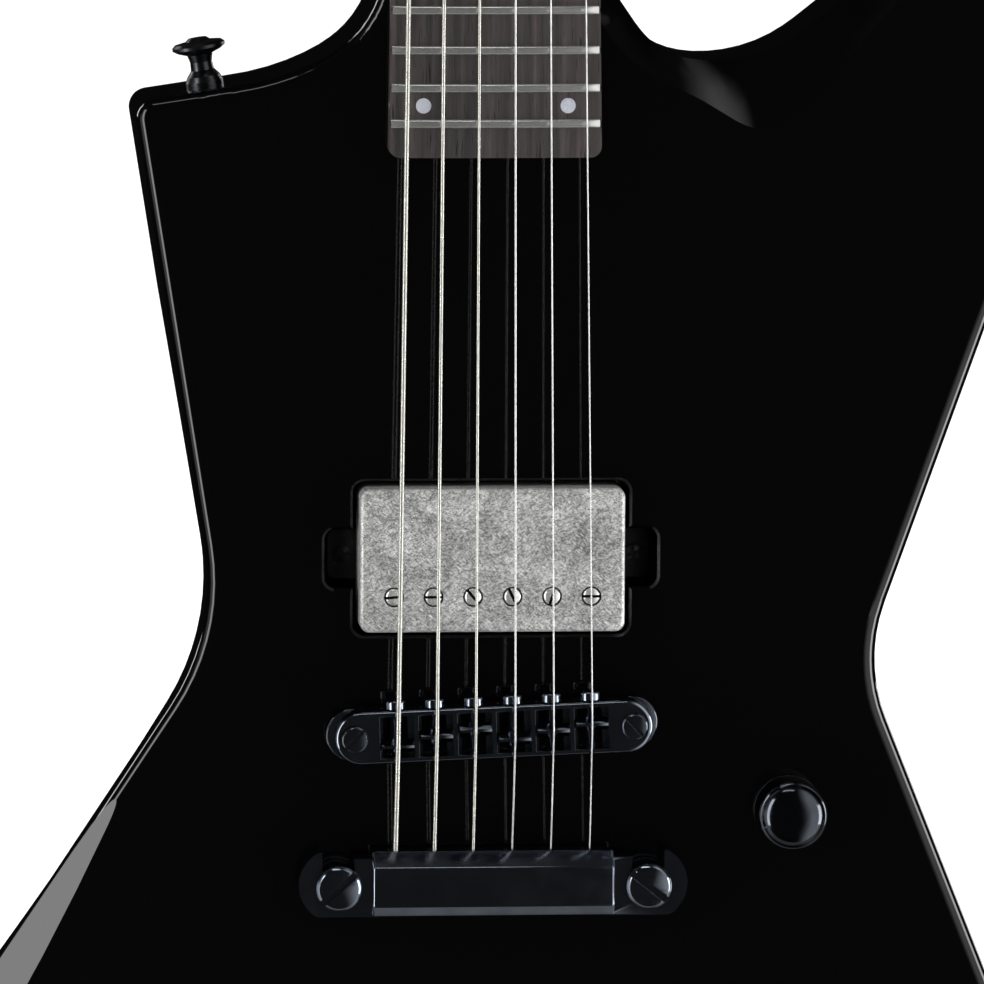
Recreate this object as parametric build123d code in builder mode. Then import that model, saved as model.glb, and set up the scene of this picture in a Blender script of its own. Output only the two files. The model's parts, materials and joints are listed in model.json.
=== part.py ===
from build123d import *
import os
from math import cos, radians, sin, sqrt, tan

# Angular offset electric guitar, in millimetres. X runs to the treble side, Z runs up to the
# headstock and the front faces -Y. The origin is on the centreline at the nut, in the middle of
# the neck's thickness, where a wall hanger holds it.

os.makedirs("parts", exist_ok=True)

# ---------------------------------------------------------------- driving dimensions
SCALE_LENGTH = 628.65
FRETS = 24
STRINGS = 6

BODY_FRONT = 14.2  # the body's front face lies this far in front of the origin
BODY_THICKNESS = 44.0
BODY_EDGE = 3.5
BELLY_DEPTH = 25.0
SCOOP_DEPTH = 9.0

NECK_ANGLE = 1.44
NECK_HALF = 10.0  # from the origin to the fretboard's face at the nut
BOARD_THICKNESS = 6.0
BOARD_RADIUS = 305.0
BOARD_LENGTH = 480.5
BOARD_END_WIDTH = 56.1
NUT_WIDTH = 43.0
NUT_THICKNESS = 5.0
HEEL_START = 426.0
TENON_END = 478.0
TENON_WIDTH = 40.0
TENON_DEPTH = 30.0

FRET_WIDTH = 2.3
FRET_HEIGHT = 1.1
FRET_SLOT_WIDTH = 0.6
FRET_SLOT_DEPTH = 2.6
DOT_RADIUS = 2.0
DOT_FLOOR = 2.0
SIDE_DOT_DEPTH = 3.2
DOUBLE_DOT_SPREAD = 19.0

HEAD_ANGLE = 14.0
HEAD_DROP = 4.0  # the headstock's face starts this far behind the fretboard's face
HEAD_THICKNESS = 14.5
HEAD_LENGTH = 150.0

STRING_RADII = (0.65, 0.50, 0.37, 0.24, 0.20, 0.175)
NUT_SPREAD = 35.8
BRIDGE_SPREAD = 51.4
NUT_HEIGHT = -2.4  # height of the middle strings over the body's front plane, at the nut
SADDLE_HEIGHT = 16.2  # and at the saddles

PICKUP_Z = -586.9
PICKUP_LENGTH = 70.0
PICKUP_WIDTH = 38.1
PICKUP_TOP = 5.5
PICKUP_HEIGHT = 16.0
COIL_SPACING = 19.2
POLE_SPREAD = 52.2
POLE_RADIUS = 2.5
ROUT_DEPTH = 24.0
ROUT_RIM = 0.7

BRIDGE_Z = -631.6
BRIDGE_SLANT = 2.3
BRIDGE_STUDS = 74.0
BRIDGE_LENGTH = 84.0
BRIDGE_WIDTH = 14.0
BRIDGE_BASE = 5.6
BRIDGE_TOP = 13.2
WINDOW_DIVIDER = 1.2
WINDOW_LEDGE = 1.3
WINDOW_WIDTH = BRIDGE_SPREAD / 5 - WINDOW_DIVIDER
WINDOW_HALF_WIDTH = 5.5
SADDLE_OFFSETS = (-2.3, -0.1, 1.2, -1.7, 0.0, 1.2)
SADDLE_LENGTH = 8.4
SADDLE_THICKNESS = 3.5
SCREW_HEIGHT = 10.2
SCREW_RADIUS = 1.4

TAIL_Z = -672.6
TAIL_STUDS = 82.0
TAIL_BASE = 3.6
TAIL_TOP = 14.2
TAIL_HOLE = 9.0  # height of the string holes

KNOB = (79.2, -654.3)
KNOB_RADIUS = 9.15
KNOB_TOP = 17.0
SHAFT_RADIUS = 3.0
RUNNING_FIT = 0.08

JACK_ALONG = 0.657  # share of the treble edge from the waist to the tip
JACK_BORE = 3.25
STRAP_BUTTONS = (((-74.5, -463.5), (-0.167, 0, 0.986)), ((-33.0, -827.4), (0.168, 0, -0.986)))

TUNER_ROWS = (38.0, 76.0, 114.0)  # along the headstock from the nut
POST_RADIUS = 3.0
POST_HEIGHT = 12.0
WORM_OFFSET = 8.3
WORM_HEIGHT = -20.0


# ---------------------------------------------------------------- planes and helpers
def facing_front(origin, tilt):
    """A plane whose x runs to the treble side and whose normal faces the player's front."""
    normal = (0, -cos(radians(tilt)), sin(radians(tilt)))
    return Plane(origin=origin, x_dir=(1, 0, 0), z_dir=normal)


FRONT = facing_front((0, -BODY_FRONT, 0), 0)
BOARD = facing_front((0, -NECK_HALF, 0), NECK_ANGLE)
HEAD = facing_front((0, HEAD_DROP - NECK_HALF, NUT_THICKNESS), HEAD_ANGLE)
BRIDGE = Plane(
    origin=(0, -BODY_FRONT, BRIDGE_Z),
    x_dir=(cos(radians(BRIDGE_SLANT)), 0, sin(radians(BRIDGE_SLANT))),
    z_dir=(0, -1, 0),
)
OUTWARD = (0, -1, 0)
HEAD_NORMAL = HEAD.z_dir


def across_board(distance):
    """The plane across the neck at a distance from the nut; y points out of the fretboard."""
    origin = BOARD.from_local_coords((0, -distance, 0))
    return Plane(origin=origin, x_dir=(1, 0, 0), z_dir=-BOARD.y_dir)


def across_neck(distance):
    """A level plane across the neck; its origin is on the fretboard's face, and y points forward."""
    origin = (0, -NECK_HALF - distance * tan(radians(NECK_ANGLE)), -distance)
    return Plane(origin=origin, x_dir=(1, 0, 0), z_dir=(0, 0, -1))


def on_front(x, z, height):
    return Vector(x, -BODY_FRONT - height, z)


def turning_plane(origin, direction):
    """A plane whose y runs along a turning axis."""
    along = Vector(direction).normalized()
    base = Plane(origin=origin, z_dir=along)
    return Plane(origin=origin, x_dir=base.x_dir, z_dir=base.x_dir.cross(along))


def turn(profile, origin, direction, mode=Mode.ADD):
    """Revolve a closed profile of (radius, height) points about an axis."""
    with BuildSketch(turning_plane(origin, direction)) as section:
        with BuildLine():
            Polyline(*profile, close=True)
        make_face()
    revolve(section.sketch, axis=Axis(origin, direction), mode=mode)


def rod(origin, direction, radius, start, end, mode=Mode.ADD):
    turn(((0, start), (radius, start), (radius, end), (0, end)), origin, direction, mode)


def tube_along(points, radius, mode=Mode.ADD):
    """A round wire through the points, with a ball at each bend."""
    for start, end in zip(points, points[1:]):
        run = end - start
        rod(start, run.normalized(), radius, 0, run.length, mode)
    for bend in points[1:-1]:
        with Locations(bend):
            Sphere(radius, mode=mode)


def slot_in_head(origin, direction, angle, length, top):
    """A screwdriver slot across the top of a screw head, turned from the treble direction."""
    plane = Plane(origin=origin, x_dir=(1, 0, 0), z_dir=direction)
    with BuildSketch(plane.offset(top - SLOT_DEPTH)) as slot:
        Rectangle(length, SLOT_WIDTH, rotation=angle)
    extrude(slot.sketch, amount=2 * SLOT_DEPTH, mode=Mode.SUBTRACT)


SLOT_WIDTH = 0.9
SLOT_DEPTH = 0.8


def board_width(distance):
    return NUT_WIDTH + (BOARD_END_WIDTH - NUT_WIDTH) * distance / BOARD_LENGTH


def fret_distance(number):
    return SCALE_LENGTH * (1 - 2 ** (-number / 12))


def string_share(index):
    """-0.5 for the lowest string to 0.5 for the highest."""
    return index / (STRINGS - 1) - 0.5


def crown_drop(x):
    """How far a crowned surface has dropped at a distance from the centreline."""
    return BOARD_RADIUS - sqrt(BOARD_RADIUS**2 - x**2)


def string_points(index):
    """From the tuner post over the nut and the saddle into the tailpiece."""
    radius = STRING_RADII[index]
    side, along = TUNERS[index]
    post_x = side * (post_inset(along) - POST_RADIUS - radius - 0.3)
    nut_x = NUT_SPREAD * string_share(index)
    saddle_x = BRIDGE_SPREAD * string_share(index)
    saddle = BRIDGE.from_local_coords((saddle_x, SADDLE_OFFSETS[index], SADDLE_HEIGHT - crown_drop(saddle_x)))
    return (
        HEAD.from_local_coords((post_x, along, POST_HEIGHT - 3)),
        on_front(nut_x, NUT_THICKNESS / 2, NUT_HEIGHT - crown_drop(nut_x)),
        saddle,
        on_front(saddle_x, -664.0, TAIL_HOLE),
        on_front(saddle_x, -674.0, TAIL_HOLE),
    )


def head_half_width(along):
    return 37.5 - 6.5 * (along - 30) / 110


def post_inset(along):
    """Distance of a tuner post from the headstock's centreline."""
    return head_half_width(along) - 11


TUNERS = [(-1, along) for along in TUNER_ROWS] + [(1, along) for along in reversed(TUNER_ROWS)]


def post_origin(index):
    side, along = TUNERS[index]
    return HEAD.from_local_coords((side * post_inset(along), along, 0))


# ---------------------------------------------------------------- body
SHOULDER = (-94.4, -466.3)
BASS_WAIST = (-71.8, -606.6)
BASS_TIP = (-236.0, -855.0)
TREBLE_TIP = (168.0, -786.0)
TREBLE_WAIST = (99.5, -615.2)
HORN_TIP = (188.9, -364.0)
CORNER_RADII = (
    (SHOULDER, 5),
    (BASS_WAIST, 60),
    (BASS_TIP, 18),
    (TREBLE_TIP, 14),
    (TREBLE_WAIST, 44),
    (HORN_TIP, 10),
)
NECK_BASS = (-27.6, -HEEL_START)
NECK_TREBLE = (27.6, -HEEL_START)
TREBLE_EDGE = Vector(*TREBLE_TIP) - Vector(*TREBLE_WAIST)
JACK = Vector(*TREBLE_WAIST) + TREBLE_EDGE * JACK_ALONG
JACK_FACE = on_front(JACK.X, JACK.Y, -22)
JACK_DIRECTION = Vector(-TREBLE_EDGE.Y, 0, TREBLE_EDGE.X).normalized()
CAVITY_TOP = (KNOB, 22)
CAVITY_END = ((118.0, -738.0), 16)
CAVITY_WALL = 8.0
COVER_THICKNESS = 2.2
COVER_SCREWS = ((62, -632), (101, -639), (61, -681), (136, -716), (96, -738), (125, -758))


def cavity_outline(plane, margin):
    with BuildSketch(plane) as pear:
        for centre, radius in (CAVITY_TOP, CAVITY_END):
            with Locations(centre):
                Circle(radius + margin)
        make_hull()
    return pear.sketch


BACK = FRONT.offset(-BODY_THICKNESS)

with BuildPart() as body:
    with BuildSketch(FRONT) as outline:
        with BuildLine():
            Spline(
                NECK_BASS, (-38.6, -450.8), (-57.9, -460.2), (-78.0, -463.8),
                tangents=((-0.1, -1), (-1, -0.155)),
            )
            Polyline((-78.0, -463.8), SHOULDER, BASS_WAIST, BASS_TIP)
            ThreePointArc(BASS_TIP, (-33.0, -827.5), TREBLE_TIP)
            Polyline(TREBLE_TIP, TREBLE_WAIST, HORN_TIP, (90.4, -441.8))
            Spline(
                (90.4, -441.8), (77.5, -451.2), (59.8, -456.0), (42.5, -451.0), (31.5, -437.0), NECK_TREBLE,
                tangents=((-0.785, -0.620), (0, 1)),
            )
            Line(NECK_TREBLE, NECK_BASS)
        make_face()
        for corner, radius in CORNER_RADII:
            fillet(outline.vertices().sort_by_distance((*corner, 0))[0], radius)
    extrude(amount=-BODY_THICKNESS)
    # rounded edges all round, but not across the neck joint
    rims = body.faces().sort_by(Axis.Y)[0].edges() + body.faces().sort_by(Axis.Y)[-1].edges()
    fillet(rims.filter_by(lambda edge: edge.center().Z < -HEEL_START - 0.1), BODY_EDGE)
    # the planed bevel where the forearm rests
    with BuildSketch(FRONT):
        with BuildLine():
            ThreePointArc((-84.2, -618), (-122.6, -700), (-218, -838))
            Polyline((-218, -838), (-330, -838), (-330, -618), (-84.2, -618))
        make_face()
    extrude(amount=-8, taper=55, mode=Mode.SUBTRACT)
    # the belly contour on the back, at the bass waist
    with BuildSketch(BACK):
        with Locations((-160, -618)):
            Circle(130)
    extrude(amount=BELLY_DEPTH + 8, taper=61, mode=Mode.SUBTRACT)
    # the scoop round the treble cutaway, from a line on the front to a deeper one on the wall
    with BuildSketch(FRONT):
        with BuildLine():
            Spline((24, -433), (44, -460.5), (57, -467), (71, -473.5), (84, -466), (99.7, -447.7),
                   (125, -423), (168, -381))
            Polyline((168, -381), (168, -372), (24, -372), (24, -433))
        make_face()
    with BuildSketch(FRONT.offset(-SCOOP_DEPTH)):
        with BuildLine():
            Spline((28.5, -425), (35.5, -440.5), (40.3, -448), (46.7, -452.6), (59.8, -455.2),
                   (71, -453.8), (79.7, -449.7), (90.4, -440.9), (125, -412.5), (168, -379))
            Polyline((168, -379), (168, -372), (28.5, -372), (28.5, -425))
        make_face()
    loft(ruled=True, mode=Mode.SUBTRACT)
    # neck pocket
    with BuildSketch(FRONT.offset(1)):
        with Locations((0, -(HEEL_START + TENON_END) / 2)):
            Rectangle(TENON_WIDTH, TENON_END - HEEL_START)
    extrude(amount=-TENON_DEPTH - 1, mode=Mode.SUBTRACT)
    # pickup rout with an ear at each end
    with BuildSketch(FRONT) as rout:
        with Locations((0, PICKUP_Z)):
            RectangleRounded(73.2, 41.0, 3)
            Rectangle(88.2, 15.9)
        corners = rout.vertices().sort_by(Axis.X)
        fillet(corners[0:2] + corners[-2:], 3)
    extrude(amount=-ROUT_DEPTH, mode=Mode.SUBTRACT)
    with BuildSketch(FRONT):
        add(rout.sketch_local)
        offset(amount=ROUT_RIM)
    extrude(amount=-ROUT_RIM, taper=45, mode=Mode.SUBTRACT)
    # control cavity, its cover's recess and the holes that lead to it
    extrude(cavity_outline(BACK, 0), amount=BODY_THICKNESS - CAVITY_WALL, mode=Mode.SUBTRACT)
    extrude(cavity_outline(BACK, 5), amount=COVER_THICKNESS, mode=Mode.SUBTRACT)
    rod(on_front(*KNOB, 0), OUTWARD, 4.85, -12, 2, Mode.SUBTRACT)
    rod(JACK_FACE, JACK_DIRECTION, 5.05, -24, 4, Mode.SUBTRACT)
    tube_along((on_front(30, -598, -18), on_front(66, -638, -18)), 2.5, Mode.SUBTRACT)
    for x, z in COVER_SCREWS:
        rod(on_front(x, z, -BODY_THICKNESS), (0, -1, 0), 1.25, 0, 12, Mode.SUBTRACT)
    # bushing holes for the bridge and the tailpiece
    for side in (-1, 1):
        stud = BRIDGE.from_local_coords((side * BRIDGE_STUDS / 2, 0, 0))
        rod(stud, OUTWARD, 5.05, -20, 2, Mode.SUBTRACT)
        rod(on_front(side * TAIL_STUDS / 2, TAIL_Z, 0), OUTWARD, 5.85, -22, 2, Mode.SUBTRACT)
        rod(on_front(side * 38.5, PICKUP_Z, 0), OUTWARD, 1.3, -36, -20, Mode.SUBTRACT)
    # strap-button screw holes
    for (x, z), direction in STRAP_BUTTONS:
        rod(on_front(x, z, -22), direction, 1.75, -26, 4, Mode.SUBTRACT)
        rod(on_front(x, z, -22), direction, 5.2, 0, 3, Mode.SUBTRACT)
body.part.label = "body"
export_step(body.part, "parts/body.step")

# ---------------------------------------------------------------- neck
# depth of wood under the fretboard, growing into the heel
NECK_SECTIONS = (
    (-8, 14.0), (120, 14.6), (240, 15.4), (340, 16.2), (368, 17.2), (388, 19.2), (404, 22.4), (416, 26.2),
    (HEEL_START, 30.5),
)

TRUSS_SCREWS = ((-5, 27.5), (5, 27.5))

with BuildPart() as neck:
    # the shaft, from a slim D at the nut to a full heel at the body
    for distance, depth in NECK_SECTIONS:
        half = board_width(distance) / 2
        with BuildSketch(across_neck(distance)):
            with BuildLine():
                Line((half, -BOARD_THICKNESS), (-half, -BOARD_THICKNESS))
                EllipticalCenterArc((0, -BOARD_THICKNESS), half, depth, 180, arc_size=180)
            make_face()
    loft(ruled=True)
    # the tenon, and the pad that carries the end of the fretboard over the body's front
    with BuildSketch(FRONT.offset(-TENON_DEPTH + 0.05)):
        with Locations((0, -(HEEL_START + TENON_END) / 2)):
            Rectangle(TENON_WIDTH - 0.1, TENON_END - HEEL_START - 0.1)
    extrude(amount=TENON_DEPTH)
    with BuildSketch(FRONT):
        with BuildLine():
            Polyline(
                (-board_width(HEEL_START) / 2, -HEEL_START), (board_width(HEEL_START) / 2, -HEEL_START),
                (BOARD_END_WIDTH / 2, 1 - BOARD_LENGTH), (-BOARD_END_WIDTH / 2, 1 - BOARD_LENGTH), close=True,
            )
        make_face()
    extrude(amount=4)
    # the headstock
    with BuildSketch(HEAD) as head_outline:
        with BuildLine():
            Spline((21.5, -12), (23.5, 6), (37.5, 30), tangents=((0, 1), (0.15, 1)))
            Line((37.5, 30), (head_half_width(140), 140))
            Line((head_half_width(140), 140), (0, HEAD_LENGTH))
            mirror(about=Plane.YZ)
            Line((-21.5, -12), (21.5, -12))
        make_face()
        for x in (-head_half_width(140), head_half_width(140)):
            fillet(head_outline.vertices().sort_by_distance((x, 140, 0))[0], 6)
        fillet(head_outline.vertices().sort_by_distance((0, HEAD_LENGTH, 0))[0], 20)
    extrude(amount=-HEAD_THICKNESS)
    # the fretboard and the nut lie on a flat
    with BuildSketch(across_board(-NUT_THICKNESS)):
        with Locations((0, -BOARD_THICKNESS + 20)):
            Rectangle(90, 40)
    extrude(amount=BOARD_LENGTH + 20, mode=Mode.SUBTRACT)
    # truss-rod channel and the pocket for its nut
    with BuildSketch(across_board(-20)):
        with Locations((0, -BOARD_THICKNESS - 4.5)):
            Rectangle(6.2, 9.2)
    extrude(amount=20 + 440, mode=Mode.SUBTRACT)
    with BuildSketch(HEAD):
        with Locations((0, 12)):
            RectangleRounded(9, 22, 3)
    extrude(amount=-9, mode=Mode.SUBTRACT)
    for x, y in TRUSS_SCREWS:
        rod(HEAD.from_local_coords((x, y, 0)), HEAD_NORMAL, 0.85, -7, 2, Mode.SUBTRACT)
    for index in range(STRINGS):
        side, along = TUNERS[index]
        rod(post_origin(index), HEAD_NORMAL, 4.95, -HEAD_THICKNESS - 1, 2, Mode.SUBTRACT)
        for y in (-15.5, 10.5):
            screw = HEAD.from_local_coords((side * post_inset(along), along + y, -HEAD_THICKNESS))
            rod(screw, HEAD_NORMAL, 1.05, -1, 8, Mode.SUBTRACT)
neck.part.label = "neck"
export_step(neck.part, "parts/neck.step")


# ---------------------------------------------------------------- fretboard, frets, dots, nut
def crown(plane, half_width, depth):
    """The fretboard's section: flat below, curved on top."""
    with BuildSketch(plane) as section:
        with BuildLine():
            Line((-half_width, -depth), (half_width, -depth))
            Line((half_width, -depth), (half_width, -crown_drop(half_width)))
            ThreePointArc((half_width, -crown_drop(half_width)), (0, 0), (-half_width, -crown_drop(half_width)))
            Line((-half_width, -crown_drop(half_width)), (-half_width, -depth))
        make_face()
    return section.sketch


DOTS = [(0, number) for number in (3, 5, 7, 9, 15, 17, 19, 21)]
DOTS += [(side * DOUBLE_DOT_SPREAD, number) for number in (12, 24) for side in (-1, 1)]
SIDE_DOTS = (3, 5, 7, 9, 12, 15, 17, 19, 21, 24)


def dot_place(x, number):
    return (x, -(fret_distance(number) + fret_distance(number - 1)) / 2)


with BuildPart() as fretboard:
    with BuildSketch(BOARD.offset(-BOARD_THICKNESS)) as board_outline:
        with BuildLine():
            Polyline(
                (-NUT_WIDTH / 2, 0), (NUT_WIDTH / 2, 0), (BOARD_END_WIDTH / 2, -BOARD_LENGTH),
                (-BOARD_END_WIDTH / 2, -BOARD_LENGTH), close=True,
            )
        make_face()
        fillet(board_outline.vertices().sort_by(Axis.Y)[0:2], 3)
    extrude(amount=BOARD_THICKNESS + 1)
    extrude(crown(across_board(-1), 30, BOARD_THICKNESS + 1), amount=BOARD_LENGTH + 2, mode=Mode.INTERSECT)
    for number in range(1, FRETS + 1):
        distance = fret_distance(number)
        with BuildSketch(across_board(distance - FRET_SLOT_WIDTH / 2)):
            with Locations((0, (1 - FRET_SLOT_DEPTH) / 2)):
                Rectangle(BOARD_END_WIDTH + 4, 1 + FRET_SLOT_DEPTH)
        extrude(amount=FRET_SLOT_WIDTH, mode=Mode.SUBTRACT)
    for x, number in DOTS:
        with BuildSketch(BOARD.offset(-DOT_FLOOR)):
            with Locations(dot_place(x, number)):
                Circle(DOT_RADIUS)
        extrude(amount=DOT_FLOOR + 1, mode=Mode.SUBTRACT)
    for number in SIDE_DOTS:
        side_dot = BOARD.from_local_coords((0, dot_place(0, number)[1], -SIDE_DOT_DEPTH))
        edge = board_width(-dot_place(0, number)[1]) / 2
        rod(side_dot, (-1, 0, 0), 1.0, edge - 1.5, edge + 1, Mode.SUBTRACT)
fretboard.part.label = "fretboard"
export_step(fretboard.part, "parts/fretboard.step")

with BuildPart() as dot_inlays:
    for x, number in DOTS:
        with BuildSketch(BOARD.offset(-DOT_FLOOR)):
            with Locations(dot_place(x, number)):
                Circle(DOT_RADIUS)
        extrude(amount=DOT_FLOOR + 1)
    extrude(crown(across_board(0), 30, BOARD_THICKNESS), amount=BOARD_LENGTH, mode=Mode.INTERSECT)
    for number in SIDE_DOTS:
        side_dot = BOARD.from_local_coords((0, dot_place(0, number)[1], -SIDE_DOT_DEPTH))
        edge = board_width(-dot_place(0, number)[1]) / 2
        rod(side_dot, (-1, 0, 0), 1.0, edge - 1.5, edge - 0.02)
dot_inlays.part.label = "dot_inlays"
export_step(dot_inlays.part, "parts/dot_inlays.step")

with BuildPart() as frets:
    for number in range(1, FRETS + 1):
        distance = fret_distance(number)
        half = board_width(distance) / 2 - 0.4
        with BuildSketch(across_board(distance - FRET_WIDTH / 2)):
            with BuildLine():
                ThreePointArc((half, -crown_drop(half)), (0, 0), (-half, -crown_drop(half)))
                Line((-half, -crown_drop(half)), (-half + 0.4, FRET_HEIGHT - crown_drop(half)))
                ThreePointArc(
                    (-half + 0.4, FRET_HEIGHT - crown_drop(half)), (0, FRET_HEIGHT),
                    (half - 0.4, FRET_HEIGHT - crown_drop(half)),
                )
                Line((half - 0.4, FRET_HEIGHT - crown_drop(half)), (half, -crown_drop(half)))
            make_face()
        extrude(amount=FRET_WIDTH)
    tops = frets.edges().filter_by(GeomType.CIRCLE).filter_by(
        lambda edge: BOARD.to_local_coords(edge.position_at(0.5)).Z > FRET_HEIGHT / 2
    )
    chamfer(tops, FRET_HEIGHT - 0.45, 0.75)
    for number in range(1, FRETS + 1):
        distance = fret_distance(number)
        tang_plane = across_board(distance - FRET_SLOT_WIDTH / 2 + 0.02)
        tang = crown(tang_plane, board_width(distance) / 2 - 0.45, FRET_SLOT_DEPTH - 0.1)
        extrude(tang, amount=FRET_SLOT_WIDTH - 0.04)
frets.part.label = "frets"
export_step(frets.part, "parts/frets.step")

with BuildPart() as nut:
    extrude(crown(across_board(-NUT_THICKNESS), NUT_WIDTH / 2, BOARD_THICKNESS), amount=NUT_THICKNESS)
    for index in range(STRINGS):
        tube_along(string_points(index)[0:3], STRING_RADII[index] + 0.03, Mode.SUBTRACT)
nut.part.label = "nut"
export_step(nut.part, "parts/nut.step")

# ---------------------------------------------------------------- truss rod and its cover
with BuildPart() as truss_rod:
    with BuildSketch(across_board(-4)):
        with Locations((0, -BOARD_THICKNESS - 4.5)):
            Rectangle(6, 9)
    extrude(amount=442)
    rod_end = BOARD.from_local_coords((0, 4, -BOARD_THICKNESS - 4.5))
    rod(rod_end, BOARD.y_dir, 3.0, 0, 12)
    slot_in_head(rod_end, BOARD.y_dir, 0, 8, 12)
truss_rod.part.label = "truss_rod"
export_step(truss_rod.part, "parts/truss_rod.step")

COVER_SKIN = 1.6

with BuildPart() as truss_cover:
    with BuildSketch(HEAD) as plate:
        with BuildLine():
            Polyline((-6, 0.3), (6, 0.3), (9.5, 31), (-9.5, 31), close=True)
        make_face()
        fillet(plate.vertices(), 2)
    extrude(amount=COVER_SKIN)
    chamfer(truss_cover.faces().sort_by(Axis.Y)[0].edges(), 0.5)
    for x, y in TRUSS_SCREWS:
        rod(HEAD.from_local_coords((x, y, 0)), HEAD_NORMAL, 0.9, -1, 3, Mode.SUBTRACT)
truss_cover.part.label = "truss_cover"
export_step(truss_cover.part, "parts/truss_cover.step")

# small round-headed screws: three in the truss-rod cover, six in the cavity cover
SMALL_SCREW = ((0, -6), (0.8, -5), (0.8, 0), (1.8, 0), (1.5, 0.8), (0.7, 1.2), (0, 1.3))
COVER_SCREW = ((0, -10), (1.2, -8.5), (1.2, 0), (2.6, 0), (2.2, 0.9), (1.1, 1.5), (0, 1.6))

with BuildPart() as cover_screws:
    for x, y in TRUSS_SCREWS:
        place = HEAD.from_local_coords((x, y, COVER_SKIN))
        turn(SMALL_SCREW, place, HEAD_NORMAL)
        slot_in_head(place, HEAD_NORMAL, 0, 2, 1.3)
        slot_in_head(place, HEAD_NORMAL, 90, 2, 1.3)
    for x, z in COVER_SCREWS:
        place = on_front(x, z, -BODY_THICKNESS)
        turn(COVER_SCREW, place, (0, 1, 0))
        slot_in_head(place, (0, 1, 0), 0, 2.8, 1.6)
        slot_in_head(place, (0, 1, 0), 90, 2.8, 1.6)
cover_screws.part.label = "cover_screws"
export_step(cover_screws.part, "parts/cover_screws.step")

with BuildPart() as cavity_cover:
    extrude(cavity_outline(BACK, 4.7), amount=COVER_THICKNESS)
    for x, z in COVER_SCREWS:
        rod(on_front(x, z, -BODY_THICKNESS), OUTWARD, 1.3, -1, 4, Mode.SUBTRACT)
cavity_cover.part.label = "cavity_cover"
export_step(cavity_cover.part, "parts/cavity_cover.step")

# ---------------------------------------------------------------- strings, each with its ball end

def strung(indices, label):
    with BuildPart() as strings:
        for index in indices:
            tube_along(string_points(index), STRING_RADII[index])
            ball_x = BRIDGE_SPREAD * string_share(index)
            rod(on_front(ball_x, -674.0, TAIL_HOLE), (1, 0, 0), 1.9, -1.6, 1.6)
    strings.part.label = label
    export_step(strings.part, f"parts/{label}.step")


strung((0, 1, 2), "wound_strings")
strung((3, 4, 5), "plain_strings")

# ---------------------------------------------------------------- tuners
HOUSING_HALF = 8.0
HOUSING_DEPTH = 11.0
GEAR_RADIUS = 5.5
GEAR_TEETH = 18
WORM_RADIUS = 2.5
KEY_SHAFT = 2.0
KEY_REACH = 17.5


def behind_head(index, x, y, height):
    """A point beside a tuner's post; x counts outward from the post, whichever side it is on."""
    side, along = TUNERS[index]
    return HEAD.from_local_coords((side * (post_inset(along) + x), along + y, height))


def behind_head_plane(index, x, y, height):
    return Plane(origin=behind_head(index, x, y, height), x_dir=(1, 0, 0), z_dir=HEAD_NORMAL)


with BuildPart() as tuner_housings:
    for index in range(STRINGS):
        with BuildSketch(behind_head_plane(index, 0, -2.5, -HEAD_THICKNESS)) as ears:
            SlotOverall(32, 12, rotation=90)
        extrude(ears.sketch, amount=-1.4)
        with BuildSketch(behind_head_plane(index, 0, -2.5, -HEAD_THICKNESS)) as box:
            RectangleRounded(2 * HOUSING_HALF, 21.0, 2)
        extrude(box.sketch, amount=-HOUSING_DEPTH)
    corners = tuner_housings.faces().filter_by(
        lambda face: HEAD.to_local_coords(face.center()).Z < -HEAD_THICKNESS - HOUSING_DEPTH + 0.1
    ).edges()
    fillet(corners, 1.5)
    for index in range(STRINGS):
        side = TUNERS[index][0]
        with BuildSketch(behind_head_plane(index, 0, -2.5, -HEAD_THICKNESS)) as inside:
            RectangleRounded(2 * HOUSING_HALF - 2.4, 18.6, 1)
        extrude(inside.sketch, amount=-HOUSING_DEPTH + 1.5, mode=Mode.SUBTRACT)
        worm_axis = behind_head(index, 0, -WORM_OFFSET, WORM_HEIGHT)
        rod(worm_axis, (side, 0, 0), KEY_SHAFT + RUNNING_FIT, -6, 12, Mode.SUBTRACT)
        for y in (-15.5, 10.5):
            rod(behind_head(index, 0, y, -HEAD_THICKNESS), HEAD_NORMAL, 1.1, -3, 1, Mode.SUBTRACT)
tuner_housings.part.label = "tuner_housings"
export_step(tuner_housings.part, "parts/tuner_housings.step")

with BuildPart() as tuner_bushings:
    for index in range(STRINGS):
        rod(post_origin(index), HEAD_NORMAL, 4.85, -HEAD_THICKNESS, 0)
        rod(post_origin(index), HEAD_NORMAL, 6.8, 0, 0.8)
        with BuildSketch(behind_head_plane(index, 0, 0, 0.8)) as hexagon:
            RegularPolygon(5.6, 6)
        extrude(hexagon.sketch, amount=2.2)
        rod(post_origin(index), HEAD_NORMAL, POST_RADIUS + RUNNING_FIT, -20, 5, Mode.SUBTRACT)
tuner_bushings.part.label = "tuner_bushings"
export_step(tuner_bushings.part, "parts/tuner_bushings.step")

TUNER_SCREW = ((0, -7.4), (1.0, -6.2), (1.0, 0), (2.1, 0), (1.8, 0.8), (0.8, 1.3), (0, 1.4))

with BuildPart() as tuner_screws:
    for index in range(STRINGS):
        for y in (-15.5, 10.5):
            place = behind_head(index, 0, y, -HEAD_THICKNESS - 1.4)
            turn(TUNER_SCREW, place, -HEAD_NORMAL)
            slot_in_head(place, -HEAD_NORMAL, 0, 2.4, 1.4)
            slot_in_head(place, -HEAD_NORMAL, 90, 2.4, 1.4)
tuner_screws.part.label = "tuner_screws"
export_step(tuner_screws.part, "parts/tuner_screws.step")

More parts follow.
